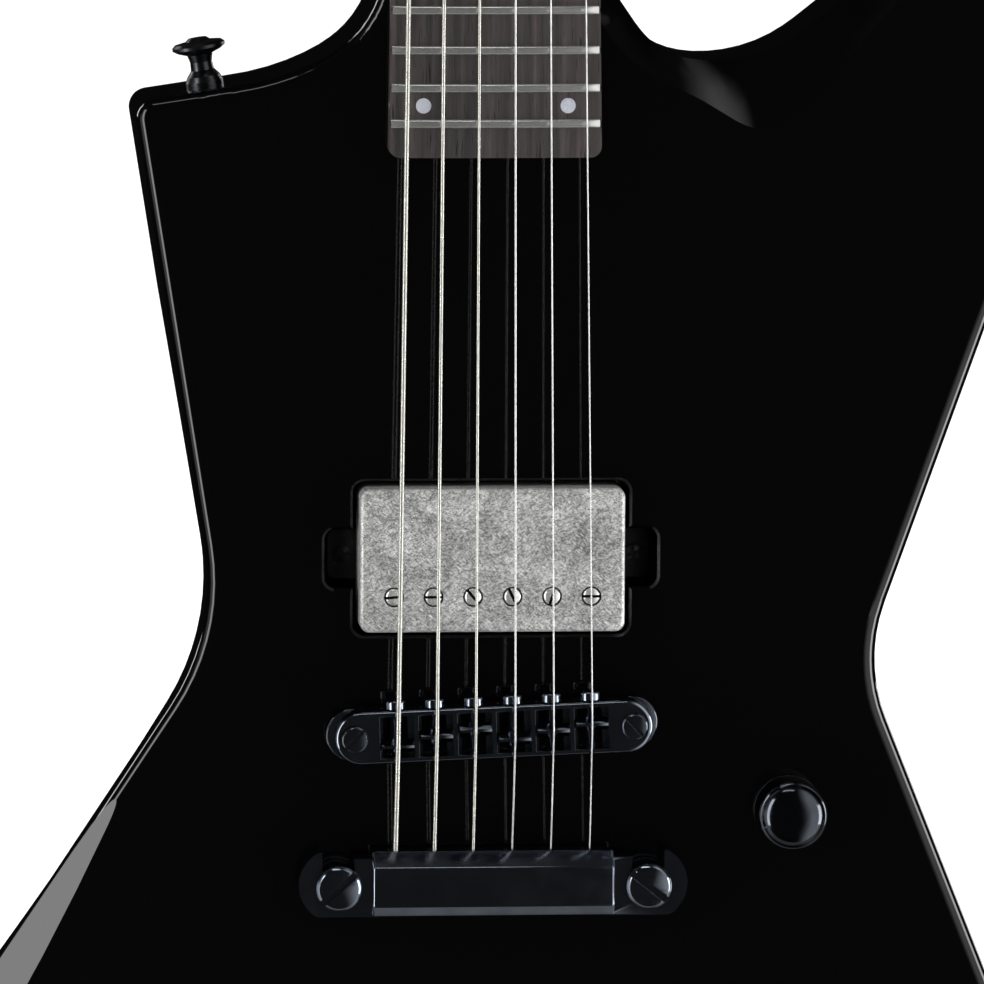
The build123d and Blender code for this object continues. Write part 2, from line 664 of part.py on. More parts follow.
for index in range(STRINGS):
    side, along = TUNERS[index]
    origin = post_origin(index)
    with BuildPart() as tuner_post:
        turn(
            ((0, -23.2), (3, -23.2), (3, 2.5), (3, 7.6), (2.6, 8.2), (2.6, 10.2), (3, 10.8),
             (3, POST_HEIGHT - 0.5), (2.5, POST_HEIGHT), (0, POST_HEIGHT)),
            origin, HEAD_NORMAL,
        )
        with BuildSketch(behind_head_plane(index, 0, 0, -22.5)) as gear:
            Circle(GEAR_RADIUS)
            with PolarLocations(GEAR_RADIUS + 0.2, GEAR_TEETH):
                Circle(0.55, mode=Mode.SUBTRACT)
        extrude(gear.sketch, amount=5)
        string_hole = HEAD.from_local_coords((side * post_inset(along), along, POST_HEIGHT - 2.8))
        rod(string_hole, HEAD.y_dir, 0.8, -4, 4, Mode.SUBTRACT)
    tuner_post.part.label = f"tuner_post_{index + 1}"
    export_step(tuner_post.part, f"parts/tuner_post_{index + 1}.step")

    worm_axis = behind_head(index, 0, -WORM_OFFSET, WORM_HEIGHT)
    outward = (side, 0, 0)
    with BuildPart() as tuner_key:
        # a flat oval grip, then the shaft with its thread rings and a collar outside the housing
        with BuildSketch(behind_head_plane(index, KEY_REACH + 10.0, -WORM_OFFSET, WORM_HEIGHT)) as grip:
            Ellipse(8.5, 10.5)
        extrude(grip.sketch, amount=3.2, both=True)
        fillet(tuner_key.faces().filter_by(GeomType.PLANE).edges(), 2.2)
        turn(
            ((0, -5.4), (KEY_SHAFT, -5.4), (KEY_SHAFT, -3), (WORM_RADIUS, -2.6), (KEY_SHAFT, -2.0),
             (KEY_SHAFT, -0.7), (WORM_RADIUS, 0), (KEY_SHAFT, 0.7), (KEY_SHAFT, 2.0),
             (WORM_RADIUS, 2.6), (KEY_SHAFT, 3), (KEY_SHAFT, HOUSING_HALF + 0.5), (3.6, HOUSING_HALF + 0.5),
             (3.6, HOUSING_HALF + 2), (2.6, HOUSING_HALF + 3), (2.6, KEY_REACH), (4.0, KEY_REACH + 0.8),
             (4.0, KEY_REACH + 2.5), (0, KEY_REACH + 2.5)),
            worm_axis, outward,
        )
    tuner_key.part.label = f"tuner_key_{index + 1}"
    export_step(tuner_key.part, f"parts/tuner_key_{index + 1}.step")

# ---------------------------------------------------------------- pickup
COVER_WALL = 0.6
FLOOR = PICKUP_TOP - PICKUP_HEIGHT
COIL_Z = (PICKUP_Z - COIL_SPACING / 2, PICKUP_Z + COIL_SPACING / 2)
POLE_SLOTS = (5, 0, -50, -65, 75, 0)


def pole_x(index):
    return POLE_SPREAD * string_share(index)


with BuildPart() as pickup_cover:
    with BuildSketch(FRONT.offset(FLOOR)):
        with Locations((0, PICKUP_Z)):
            RectangleRounded(PICKUP_LENGTH, PICKUP_WIDTH, 2.5)
    extrude(amount=PICKUP_HEIGHT)
    fillet(pickup_cover.faces().sort_by(Axis.Y)[0].edges(), 1.2)
    with BuildSketch(FRONT.offset(FLOOR)):
        with Locations((0, PICKUP_Z)):
            RectangleRounded(PICKUP_LENGTH - 2 * COVER_WALL, PICKUP_WIDTH - 2 * COVER_WALL, 1.9)
    extrude(amount=PICKUP_HEIGHT - COVER_WALL, mode=Mode.SUBTRACT)
    for index in range(STRINGS):
        rod(on_front(pole_x(index), COIL_Z[0], 0), OUTWARD, POLE_RADIUS + 0.15, 2, 8, Mode.SUBTRACT)
pickup_cover.part.label = "pickup_cover"
export_step(pickup_cover.part, "parts/pickup_cover.step")

with BuildPart() as pickup_baseplate:
    with BuildSketch(FRONT.offset(FLOOR)) as base:
        with Locations((0, PICKUP_Z)):
            RectangleRounded(PICKUP_LENGTH - 0.2, PICKUP_WIDTH - 0.2, 2)
            RectangleRounded(85, 13, 2)
    extrude(amount=-1.2)
    for side in (-1, 1):
        rod(on_front(side * 38.5, PICKUP_Z, 0), OUTWARD, 1.6, FLOOR - 3, FLOOR + 2, Mode.SUBTRACT)
    for index in range(STRINGS):
        rod(on_front(pole_x(index), COIL_Z[0], 0), OUTWARD, 1.65, FLOOR - 3, FLOOR + 2, Mode.SUBTRACT)
pickup_baseplate.part.label = "pickup_baseplate"
export_step(pickup_baseplate.part, "parts/pickup_baseplate.step")

MAGNET_TOP = FLOOR + 3.2
BOBBIN_TOP = PICKUP_TOP - COVER_WALL - 0.2

with BuildPart() as pickup_magnet:
    with BuildSketch(FRONT.offset(FLOOR)):
        with Locations((0, PICKUP_Z)):
            Rectangle(60, 12)
    extrude(amount=3.2)
pickup_magnet.part.label = "pickup_magnet"
export_step(pickup_magnet.part, "parts/pickup_magnet.step")

with BuildPart() as pickup_bobbins:
    for z in COIL_Z:
        for low, high in ((MAGNET_TOP, MAGNET_TOP + 1), (BOBBIN_TOP - 1, BOBBIN_TOP)):
            with BuildSketch(FRONT.offset(low)) as flange:
                with Locations((0, z)):
                    SlotOverall(66, 17.5)
            extrude(flange.sketch, amount=high - low)
        with BuildSketch(FRONT.offset(MAGNET_TOP)) as core:
            with Locations((0, z)):
                SlotOverall(59, 7.6)
        extrude(core.sketch, amount=BOBBIN_TOP - MAGNET_TOP)
    for index in range(STRINGS):
        rod(on_front(pole_x(index), COIL_Z[0], 0), OUTWARD, 1.65, FLOOR, 8, Mode.SUBTRACT)
        rod(on_front(pole_x(index), COIL_Z[0], 0), OUTWARD, 2.6, 2.6, 8, Mode.SUBTRACT)
        rod(on_front(pole_x(index), COIL_Z[1], 0), OUTWARD, 2.45, FLOOR, 8, Mode.SUBTRACT)
pickup_bobbins.part.label = "pickup_bobbins"
export_step(pickup_bobbins.part, "parts/pickup_bobbins.step")

with BuildPart() as pickup_coils:
    for z in COIL_Z:
        with BuildSketch(FRONT.offset(MAGNET_TOP + 1)) as winding:
            with Locations((0, z)):
                SlotOverall(65, 16.4)
                SlotOverall(59, 7.6, mode=Mode.SUBTRACT)
        extrude(winding.sketch, amount=BOBBIN_TOP - MAGNET_TOP - 2)
pickup_coils.part.label = "pickup_coils"
export_step(pickup_coils.part, "parts/pickup_coils.step")

with BuildPart() as pole_screws:
    for index in range(STRINGS):
        place = on_front(pole_x(index), COIL_Z[0], 0)
        turn(
            ((0, FLOOR - 3.5), (1.5, FLOOR - 3.5), (1.5, 3.2), (POLE_RADIUS, 3.2),
             (POLE_RADIUS, 5.4), (POLE_RADIUS - 0.5, 5.8), (0, 5.9)),
            place, OUTWARD,
        )
        slot_in_head(place, OUTWARD, POLE_SLOTS[index], 6, 5.9)
pole_screws.part.label = "pole_screws"
export_step(pole_screws.part, "parts/pole_screws.step")

with BuildPart() as pole_slugs:
    for index in range(STRINGS):
        rod(on_front(pole_x(index), COIL_Z[1], 0), OUTWARD, 2.4, MAGNET_TOP, BOBBIN_TOP)
pole_slugs.part.label = "pole_slugs"
export_step(pole_slugs.part, "parts/pole_slugs.step")

with BuildPart() as pickup_screws:
    for side in (-1, 1):
        place = on_front(side * 38.5, PICKUP_Z, 0)
        turn(
            ((0, -34), (1.25, -32), (1.25, FLOOR), (2.15, FLOOR), (2.15, FLOOR + 1.2), (0, FLOOR + 1.8)),
            place, OUTWARD,
        )
        slot_in_head(place, OUTWARD, 20, 5, FLOOR + 1.8)
        slot_in_head(place, OUTWARD, 110, 5, FLOOR + 1.8)
        # the spring between the baseplate and the floor of the rout
        for turn_number in range(6):
            height = -ROUT_DEPTH + 0.5 + turn_number * 2.1
            turn(((2.0, height), (2.8, height), (2.8, height + 0.8), (2.0, height + 0.8)), place, OUTWARD)
pickup_screws.part.label = "pickup_screws"
export_step(pickup_screws.part, "parts/pickup_screws.step")

# ---------------------------------------------------------------- bridge
SADDLE_TRAVEL = WINDOW_HALF_WIDTH - SADDLE_THICKNESS / 2 - 0.35
BRIDGE_FLOOR = BRIDGE_BASE + 1.4


def saddle_x(index):
    return BRIDGE_SPREAD * string_share(index)


def stud_origin(side):
    return BRIDGE.from_local_coords((side * BRIDGE_STUDS / 2, 0, 0))


with BuildPart() as bridge_body:
    with BuildSketch(BRIDGE.offset(BRIDGE_BASE)):
        SlotOverall(BRIDGE_LENGTH, BRIDGE_WIDTH)
    extrude(amount=BRIDGE_TOP - BRIDGE_BASE)
    fillet(bridge_body.faces().sort_by(Axis.Y)[0].edges(), 1.2)
    for floor, width in ((BRIDGE_FLOOR, WINDOW_WIDTH), (0, WINDOW_WIDTH - 2 * WINDOW_LEDGE)):
        with BuildSketch(BRIDGE.offset(floor)):
            with Locations(*[(saddle_x(index), 0) for index in range(STRINGS)]):
                Rectangle(width, 2 * WINDOW_HALF_WIDTH)
        extrude(amount=20, mode=Mode.SUBTRACT)
    for side in (-1, 1):
        rod(stud_origin(side), OUTWARD, 2.6, 0, 20, Mode.SUBTRACT)
        rod(stud_origin(side), OUTWARD, 3.55, BRIDGE_TOP - 1.6, 20, Mode.SUBTRACT)
    for index in range(STRINGS):
        axis_point = BRIDGE.from_local_coords((saddle_x(index), 0, SCREW_HEIGHT))
        rod(axis_point, BRIDGE.y_dir, SCREW_RADIUS + RUNNING_FIT, -6.7, 10, Mode.SUBTRACT)
bridge_body.part.label = "bridge_body"
export_step(bridge_body.part, "parts/bridge_body.step")

for index in range(STRINGS):
    x = saddle_x(index)
    ridge = SADDLE_HEIGHT - crown_drop(x) + 0.1
    half = SADDLE_THICKNESS / 2
    start = BRIDGE.from_local_coords((x - SADDLE_LENGTH / 2, SADDLE_OFFSETS[index], 0))
    with BuildPart() as saddle:
        profile_plane = Plane(origin=start, x_dir=BRIDGE.y_dir, z_dir=BRIDGE.x_dir)
        with BuildSketch(profile_plane):
            with BuildLine():
                Polyline(
                    (-half, BRIDGE_FLOOR + 0.15), (half, BRIDGE_FLOOR + 0.15), (half, ridge - 3.0),
                    (0.35, ridge), (-0.35, ridge), (-half, ridge - 3.0), close=True,
                )
            make_face()
        extrude(amount=SADDLE_LENGTH)
        middle = BRIDGE.from_local_coords((x, SADDLE_OFFSETS[index], SCREW_HEIGHT))
        rod(middle, BRIDGE.y_dir, SCREW_RADIUS + RUNNING_FIT, -4, 4, Mode.SUBTRACT)
        tube_along(string_points(index)[1:4], STRING_RADII[index] + 0.04, Mode.SUBTRACT)
    saddle.part.label = f"saddle_{index + 1}"
    export_step(saddle.part, f"parts/saddle_{index + 1}.step")

    screw_axis = BRIDGE.from_local_coords((x, 0, SCREW_HEIGHT))
    with BuildPart() as saddle_screw:
        turn(
            ((0, -6.4), (SCREW_RADIUS, -6.4), (SCREW_RADIUS, 7.2), (2.65, 7.2), (2.65, 9.0), (2.3, 9.4), (0, 9.5)),
            screw_axis, BRIDGE.y_dir,
        )
        slot_in_head(screw_axis, BRIDGE.y_dir, 0, 6, 9.5)
    saddle_screw.part.label = f"saddle_screw_{index + 1}"
    export_step(saddle_screw.part, f"parts/saddle_screw_{index + 1}.step")

with BuildPart() as bridge_studs:
    # a slotted stud and its height wheel at each end of the bridge
    for side, angle in ((-1, 45), (1, -48)):
        turn(
            ((0, -18), (2.5, -18), (2.5, BRIDGE_TOP - 1.5), (3.45, BRIDGE_TOP - 1.5), (3.45, 14.2),
             (3.1, 14.6), (0, 14.6)),
            stud_origin(side), OUTWARD,
        )
        slot_in_head(stud_origin(side), OUTWARD, angle, 8, 14.6)
    for side in (-1, 1):
        turn(
            ((2.55, 3.0), (6.6, 3.0), (6.9, 3.3), (6.9, 5.2), (6.6, BRIDGE_BASE), (2.55, BRIDGE_BASE)),
            stud_origin(side), OUTWARD,
        )
bridge_studs.part.label = "bridge_studs"
export_step(bridge_studs.part, "parts/bridge_studs.step")

with BuildPart() as stud_bushings:
    for side in (-1, 1):
        turn(
            ((2.55, -19.5), (5.0, -19.5), (5.0, 0), (6.2, 0), (6.2, 0.9), (2.55, 0.9)),
            stud_origin(side), OUTWARD,
        )
        turn(
            ((4.05, -21.5), (5.8, -21.5), (5.8, 0), (6.9, 0), (6.9, 0.9), (4.05, 0.9)),
            on_front(side * TAIL_STUDS / 2, TAIL_Z, 0), OUTWARD,
        )
stud_bushings.part.label = "stud_bushings"
export_step(stud_bushings.part, "parts/stud_bushings.step")

# ---------------------------------------------------------------- tailpiece
LUG_OPENING = 8.6
LUG_BASE = 5.4
LUG_TOP = 11.6

with BuildPart() as tailpiece:
    # the string bar, with its long edges eased and the edge toward the tail cut back
    bar_section = Plane(origin=on_front(-32, 0, 0), x_dir=(0, 0, 1), z_dir=(1, 0, 0))
    with BuildSketch(bar_section) as bar:
        with BuildLine():
            Polyline(
                (-663.4, TAIL_BASE), (-663.4, TAIL_TOP - 4.4), (-667.4, TAIL_TOP), (-677.6, TAIL_TOP),
                (-680.6, TAIL_TOP - 2.6), (-680.6, TAIL_BASE), close=True,
            )
        make_face()
        fillet(bar.vertices(), 1.0)
    extrude(amount=64)
    ends = tailpiece.faces().sort_by(Axis.X)
    fillet(ends[0].edges() + ends[-1].edges(), 0.8)
    for side in (-1, 1):
        with BuildSketch(FRONT.offset(LUG_BASE)) as lug:
            with BuildLine():
                ThreePointArc((side * 46.5, -680.6), (side * 51.4, -671.8), (side * 46.2, -663.4))
                Polyline(
                    (side * 46.2, -663.4), (side * 41, -663.4), (side * 41, -665.1), (side * 30, -665.1),
                    (side * 30, -680.6), (side * 46.5, -680.6),
                )
            make_face()
            with Locations((side * TAIL_STUDS / 2, TAIL_Z)):
                Circle(LUG_OPENING / 2, mode=Mode.SUBTRACT)
            with Locations((side * TAIL_STUDS / 2, TAIL_Z + 6)):
                Rectangle(LUG_OPENING, 12, mode=Mode.SUBTRACT)
        extrude(lug.sketch, amount=LUG_TOP - LUG_BASE)
    for index in range(STRINGS):
        hole = on_front(saddle_x(index), 0, TAIL_HOLE)
        rod(hole, (0, 0, 1), 1.1, -675, -660, Mode.SUBTRACT)
        rod(hole, (0, 0, 1), 2.5, -685, -672, Mode.SUBTRACT)
        tube_along(string_points(index)[2:5], STRING_RADII[index] + 0.05, Mode.SUBTRACT)
tailpiece.part.label = "tailpiece"
export_step(tailpiece.part, "parts/tailpiece.step")

with BuildPart() as tail_studs:
    for side, angle in ((-1, 42), (1, -38)):
        place = on_front(side * TAIL_STUDS / 2, TAIL_Z, 0)
        turn(
            ((0, -20), (4.0, -20), (4.0, 3.0), (6.0, 3.0), (6.0, LUG_BASE), (4.1, LUG_BASE),
             (4.1, LUG_TOP), (6.0, LUG_TOP), (6.0, 14.4), (5.2, 15.2), (0, 15.6)),
            place, OUTWARD,
        )
        plane = Plane(origin=place, x_dir=(1, 0, 0), z_dir=OUTWARD)
        with BuildSketch(plane.offset(14.0)) as slot:
            Rectangle(14, 1.8, rotation=angle)
        extrude(slot.sketch, amount=3, mode=Mode.SUBTRACT)
tail_studs.part.label = "tail_studs"
export_step(tail_studs.part, "parts/tail_studs.step")

# ---------------------------------------------------------------- volume control
POT_TOP = -CAVITY_WALL

with BuildPart() as volume_pot:
    turn(
        ((SHAFT_RADIUS + RUNNING_FIT, POT_TOP), (12, POT_TOP), (12, POT_TOP - 9.5), (0, POT_TOP - 9.5),
         (0, POT_TOP - 8.5), (8, POT_TOP - 8.5), (8, POT_TOP - 5), (SHAFT_RADIUS + RUNNING_FIT, POT_TOP - 5)),
        on_front(*KNOB, 0), OUTWARD,
    )
    turn(
        ((SHAFT_RADIUS + RUNNING_FIT, POT_TOP), (4.7, POT_TOP), (4.7, 3.4), (SHAFT_RADIUS + RUNNING_FIT, 3.4)),
        on_front(*KNOB, 0), OUTWARD,
    )
    with BuildSketch(FRONT.offset(POT_TOP - 2)) as lugs:
        for offset in (-5, 0, 5):
            with Locations((KNOB[0] + 14, KNOB[1] + offset)):
                Rectangle(8, 2)
    extrude(lugs.sketch, amount=-0.8)
volume_pot.part.label = "volume_pot"
export_step(volume_pot.part, "parts/volume_pot.step")

with BuildPart() as pot_nut:
    turn(((4.75, 0), (6.6, 0), (6.6, 0.6), (4.75, 0.6)), on_front(*KNOB, 0), OUTWARD)
    with BuildSketch(FRONT.offset(0.6)):
        with Locations(KNOB):
            RegularPolygon(6.4, 6)
            Circle(4.75, mode=Mode.SUBTRACT)
    extrude(amount=1.8)
pot_nut.part.label = "pot_nut"
export_step(pot_nut.part, "parts/pot_nut.step")

with BuildPart() as pot_shaft:
    turn(
        ((0, POT_TOP - 7.5), (6, POT_TOP - 7.5), (6, POT_TOP - 5.3), (SHAFT_RADIUS, POT_TOP - 5.3),
         (SHAFT_RADIUS, 12), (0, 12)),
        on_front(*KNOB, 0), OUTWARD,
    )
pot_shaft.part.label = "pot_shaft"
export_step(pot_shaft.part, "parts/pot_shaft.step")

with BuildPart() as volume_knob:
    with BuildSketch(turning_plane(on_front(*KNOB, 0), OUTWARD)) as knob_profile:
        with BuildLine():
            Polyline(
                (0, KNOB_TOP), (0, 12.0), (SHAFT_RADIUS, 12.0), (SHAFT_RADIUS, 5.0), (7.4, 5.0), (7.4, 0.8),
                (KNOB_RADIUS - 0.3, 0.8), (KNOB_RADIUS, 1.2), (KNOB_RADIUS, 13.2), (8.4, 14.0),
            )
            Spline((8.4, 14.0), (6.0, KNOB_TOP - 0.65), (0.6, KNOB_TOP), tangents=((-0.5, 1), (-1, 0)))
            Line((0.6, KNOB_TOP), (0, KNOB_TOP))
        make_face()
    revolve(knob_profile.sketch, axis=Axis(on_front(*KNOB, 0), OUTWARD))
volume_knob.part.label = "volume_knob"
export_step(volume_knob.part, "parts/volume_knob.step")

# ---------------------------------------------------------------- output jack and wiring
with BuildPart() as output_jack:
    turn(
        ((JACK_BORE, -23), (5.0, -23), (5.0, 0), (8.5, 0), (8.5, 1.0), (6.0, 1.0), (6.0, 3.0), (JACK_BORE, 3.0)),
        JACK_FACE, JACK_DIRECTION,
    )
    rod(JACK_FACE, JACK_DIRECTION, 5.0, -27, -23)
output_jack.part.label = "output_jack"
export_step(output_jack.part, "parts/output_jack.step")

with BuildPart() as wiring:
    tube_along((on_front(24, -597, -16), on_front(31, -599, -18), on_front(65, -637, -18),
                on_front(70, -640, -29), on_front(88, -668, -29), on_front(95, -659.3, -11.8)), 1.1)
    tube_along((on_front(95, -649.3, -11.8), on_front(103, -672, -26), on_front(114, -730, -26),
                on_front(116.5, -738.0, -22)), 1.0)
wiring.part.label = "wiring"
export_step(wiring.part, "parts/wiring.step")

# ---------------------------------------------------------------- strap buttons
STRAP_PROFILE = (
    (0, 0), (5.0, 0), (5.0, 1.2), (4.4, 2.6), (3.1, 4.2), (2.9, 6.4), (3.4, 8.4), (5.6, 9.2), (7.0, 10.1),
    (7.0, 10.9), (6.2, 11.6), (3.6, 12.0), (1.7, 10.0), (0, 10.0),
)

with BuildPart() as strap_buttons:
    for (x, z), direction in STRAP_BUTTONS:
        turn(STRAP_PROFILE, on_front(x, z, -22), direction)
        rod(on_front(x, z, -22), direction, 1.85, -1, 13, Mode.SUBTRACT)
strap_buttons.part.label = "strap_buttons"
export_step(strap_buttons.part, "parts/strap_buttons.step")

with BuildPart() as strap_screws:
    for (x, z), direction in STRAP_BUTTONS:
        place = on_front(x, z, -22)
        turn(((0, -25), (1.7, -22), (1.7, 10.1), (3.4, 12.0), (2.4, 12.8), (0, 13.0)), place, direction)
        slot_in_head(place, direction, 0, 3.6, 13.0)
        slot_in_head(place, direction, 90, 3.6, 13.0)
strap_screws.part.label = "strap_screws"
export_step(strap_screws.part, "parts/strap_screws.step")
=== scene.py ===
import json
from math import cos, floor, pi, radians, sin, sqrt, tau

import bmesh
import bpy
from mathutils import Matrix, Vector


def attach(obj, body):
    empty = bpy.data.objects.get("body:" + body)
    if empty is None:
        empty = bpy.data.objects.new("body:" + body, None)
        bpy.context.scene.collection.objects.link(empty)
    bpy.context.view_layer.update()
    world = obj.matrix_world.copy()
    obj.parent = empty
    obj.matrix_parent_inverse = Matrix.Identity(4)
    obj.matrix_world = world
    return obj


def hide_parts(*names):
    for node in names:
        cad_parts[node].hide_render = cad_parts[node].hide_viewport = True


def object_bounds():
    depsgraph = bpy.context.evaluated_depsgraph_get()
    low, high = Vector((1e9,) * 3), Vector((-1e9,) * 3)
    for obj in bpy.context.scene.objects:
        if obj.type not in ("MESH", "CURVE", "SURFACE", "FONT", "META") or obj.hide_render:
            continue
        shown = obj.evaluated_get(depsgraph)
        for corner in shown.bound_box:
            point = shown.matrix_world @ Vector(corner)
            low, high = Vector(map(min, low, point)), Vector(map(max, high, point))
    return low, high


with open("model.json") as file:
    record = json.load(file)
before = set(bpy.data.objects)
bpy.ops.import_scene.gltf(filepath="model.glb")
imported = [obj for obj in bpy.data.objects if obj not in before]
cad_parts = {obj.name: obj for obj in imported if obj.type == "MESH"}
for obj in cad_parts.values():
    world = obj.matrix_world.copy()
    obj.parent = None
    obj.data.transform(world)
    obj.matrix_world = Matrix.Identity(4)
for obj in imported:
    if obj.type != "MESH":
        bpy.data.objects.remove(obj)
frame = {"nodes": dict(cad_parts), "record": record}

cad_low, cad_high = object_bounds()

# ---------------------------------------------------------------- camera
camera = bpy.data.objects.new("camera", bpy.data.cameras.new("camera"))
bpy.context.scene.collection.objects.link(camera)
camera.data.sensor_width = 36.0
camera.data.lens = 392.9
camera.location = (-0.2485, -2.8142, -0.2352)
camera.rotation_euler = (1.45248, -0.00522, -0.08794)
camera.data.clip_end = 100
bpy.context.scene.camera = camera

# ---------------------------------------------------------------- dimensions the pieces need, in metres
MM = 0.001
OUTWARD = Vector((0, -1, 0))
BODY_FRONT = 14.2 * MM
NECK_HALF = 10.0 * MM
HEAD_ORIGIN = Vector((0, -0.006, 0.005))
HEAD_ANGLE = radians(14.0)
HEAD_UP = Vector((0, sin(HEAD_ANGLE), cos(HEAD_ANGLE)))
HEAD_NORMAL = Vector((0, -cos(HEAD_ANGLE), sin(HEAD_ANGLE)))
BRIDGE_SLANT = radians(2.3)
BRIDGE_ORIGIN = Vector((0, -BODY_FRONT, -0.6316))
BRIDGE_ALONG = Vector((cos(BRIDGE_SLANT), 0, sin(BRIDGE_SLANT)))
BRIDGE_UP = Vector((-sin(BRIDGE_SLANT), 0, cos(BRIDGE_SLANT)))
BOARD_RADIUS = 305.0 * MM
STRING_RADII = (0.65 * MM, 0.50 * MM, 0.37 * MM, 0.24 * MM, 0.20 * MM, 0.175 * MM)
WINDING_PITCH = (0.42 * MM, 0.36 * MM, 0.30 * MM)
SADDLE_OFFSETS = (-2.3 * MM, -0.1 * MM, 1.2 * MM, -1.7 * MM, 0.0, 1.2 * MM)
NUT_SPREAD = 35.8 * MM
BRIDGE_SPREAD = 51.4 * MM
POST_RADIUS = 3.0 * MM
POST_HEIGHT = 12.0 * MM
TUNERS = [(-1, 38 * MM), (-1, 76 * MM), (-1, 114 * MM), (1, 114 * MM), (1, 76 * MM), (1, 38 * MM)]


def crown_drop(x):
    return BOARD_RADIUS - sqrt(BOARD_RADIUS**2 - x**2)


def on_front(x, z, height):
    return Vector((x, -BODY_FRONT - height, z))


def on_head(x, along, height):
    return HEAD_ORIGIN + Vector((x, 0, 0)) + HEAD_UP * along + HEAD_NORMAL * height


def on_bridge(x, along, height):
    return BRIDGE_ORIGIN + BRIDGE_ALONG * x + BRIDGE_UP * along + OUTWARD * height


def post_inset(along):
    return 26.5 * MM - 6.5 * (along - 30 * MM) / 110


# ---------------------------------------------------------------- material helpers
class Surface:
    """A material whose detail comes from object-space noise, in metres."""

    def __init__(self, name, color, metallic=0.0, roughness=0.5, coat=0.0, ior=1.5):
        self.material = bpy.data.materials.new(name)
        self.material.use_nodes = True
        self.nodes = self.material.node_tree.nodes
        self.links = self.material.node_tree.links
        self.shader = self.nodes["Principled BSDF"]
        self.shader.inputs["Base Color"].default_value = (*color, 1)
        self.shader.inputs["Metallic"].default_value = metallic
        self.shader.inputs["Roughness"].default_value = roughness
        self.shader.inputs["Coat Weight"].default_value = coat
        self.shader.inputs["Coat Roughness"].default_value = 0.02
        self.shader.inputs["IOR"].default_value = ior
        self.place = self.nodes.new("ShaderNodeTexCoord").outputs["Object"]

    def noise(self, scale, stretch=(1, 1, 1), turn=(0, 0, 0), detail=3.0, rough=0.5, distortion=0.0):
        turned = self.nodes.new("ShaderNodeMapping")
        turned.inputs["Rotation"].default_value = turn
        self.links.new(self.place, turned.inputs["Vector"])
        mapping = self.nodes.new("ShaderNodeMapping")
        mapping.inputs["Scale"].default_value = [scale * part for part in stretch]
        self.links.new(turned.outputs[0], mapping.inputs["Vector"])
        texture = self.nodes.new("ShaderNodeTexNoise")
        texture.inputs["Scale"].default_value = 1.0
        texture.inputs["Detail"].default_value = detail
        texture.inputs["Roughness"].default_value = rough
        texture.inputs["Distortion"].default_value = distortion
        self.links.new(mapping.outputs[0], texture.inputs["Vector"])
        return texture.outputs["Fac"]

    def between(self, value, low, high, start=0.0, end=1.0):
        node = self.nodes.new("ShaderNodeMapRange")
        node.interpolation_type = "SMOOTHSTEP"
        for name, number in (("From Min", start), ("From Max", end), ("To Min", low), ("To Max", high)):
            node.inputs[name].default_value = number
        self.links.new(value, node.inputs["Value"])
        return node.outputs["Result"]

    def ramp(self, value, *stops):
        node = self.nodes.new("ShaderNodeValToRGB")
        points = node.color_ramp.elements
        while len(points) < len(stops):
            points.new(0.5)
        for point, (position, color) in zip(points, stops):
            point.position = position
            point.color = (*color, 1)
        self.links.new(value, node.inputs["Fac"])
        return node.outputs["Color"]

    def mix(self, share, first, second):
        node = self.nodes.new("ShaderNodeMix")
        node.data_type = "RGBA"
        self.links.new(share, node.inputs[0])
        self.links.new(first, node.inputs[6])
        self.links.new(second, node.inputs[7])
        return node.outputs[2]

    def math(self, kind, first, second):
        node = self.nodes.new("ShaderNodeMath")
        node.operation = kind
        for socket, value in zip(node.inputs, (first, second)):
            if isinstance(value, (int, float)):
                socket.default_value = value
            else:
                self.links.new(value, socket)
        return node.outputs[0]

    def put(self, name, value):
        self.links.new(value, self.shader.inputs[name])

    def bump(self, height, distance, strength=1.0):
        node = self.nodes.new("ShaderNodeBump")
        node.inputs["Distance"].default_value = distance
        node.inputs["Strength"].default_value = strength
        if self.shader.inputs["Normal"].is_linked:
            self.links.new(self.shader.inputs["Normal"].links[0].from_socket, node.inputs["Normal"])
        self.links.new(height, node.inputs["Height"])
        self.put("Normal", node.outputs["Normal"])


def lacquer():
    surface = Surface("gloss_black", (0.0008, 0.0008, 0.001), roughness=0.05, ior=1.46)
    haze = surface.noise(60, detail=4)
    surface.put("Roughness", surface.between(haze, 0.03, 0.075, 0.3, 0.7))
    surface.bump(surface.noise(260, detail=1), 0.000004, 0.25)
    swirl = surface.noise(900, stretch=(1, 1, 0.05), turn=(0, radians(32), 0), detail=2)
    surface.bump(surface.between(swirl, 0, 1, 0.72, 0.8), 0.000002, 0.15)
    return surface


def rosewood():
    surface = Surface("rosewood", (0.03, 0.015, 0.01), roughness=0.5)
    band = surface.noise(90, stretch=(1, 1, 0.035), detail=3, distortion=0.4)
    streak = surface.noise(520, stretch=(1, 1, 0.03), detail=5, rough=0.65)
    dark = surface.ramp(streak, (0.30, (0.012, 0.011, 0.011)), (0.55, (0.028, 0.024, 0.024)),
                        (0.80, (0.050, 0.044, 0.043)))
    red = surface.ramp(streak, (0.30, (0.018, 0.014, 0.014)), (0.55, (0.042, 0.032, 0.031)),
                       (0.80, (0.080, 0.060, 0.056)))
    wood = surface.mix(surface.between(band, 0, 1, 0.42, 0.62), dark, red)
    pore = surface.between(surface.noise(2300, stretch=(1, 1, 0.045), detail=2), 0, 1, 0.60, 0.68)
    black = surface.ramp(pore, (0, (0.006, 0.003, 0.003)), (1, (0.006, 0.003, 0.003)))
    surface.put("Base Color", surface.mix(pore, wood, black))
    surface.put("Roughness", surface.between(streak, 0.42, 0.62))
    surface.bump(pore, -0.00006, 0.5)
    return surface


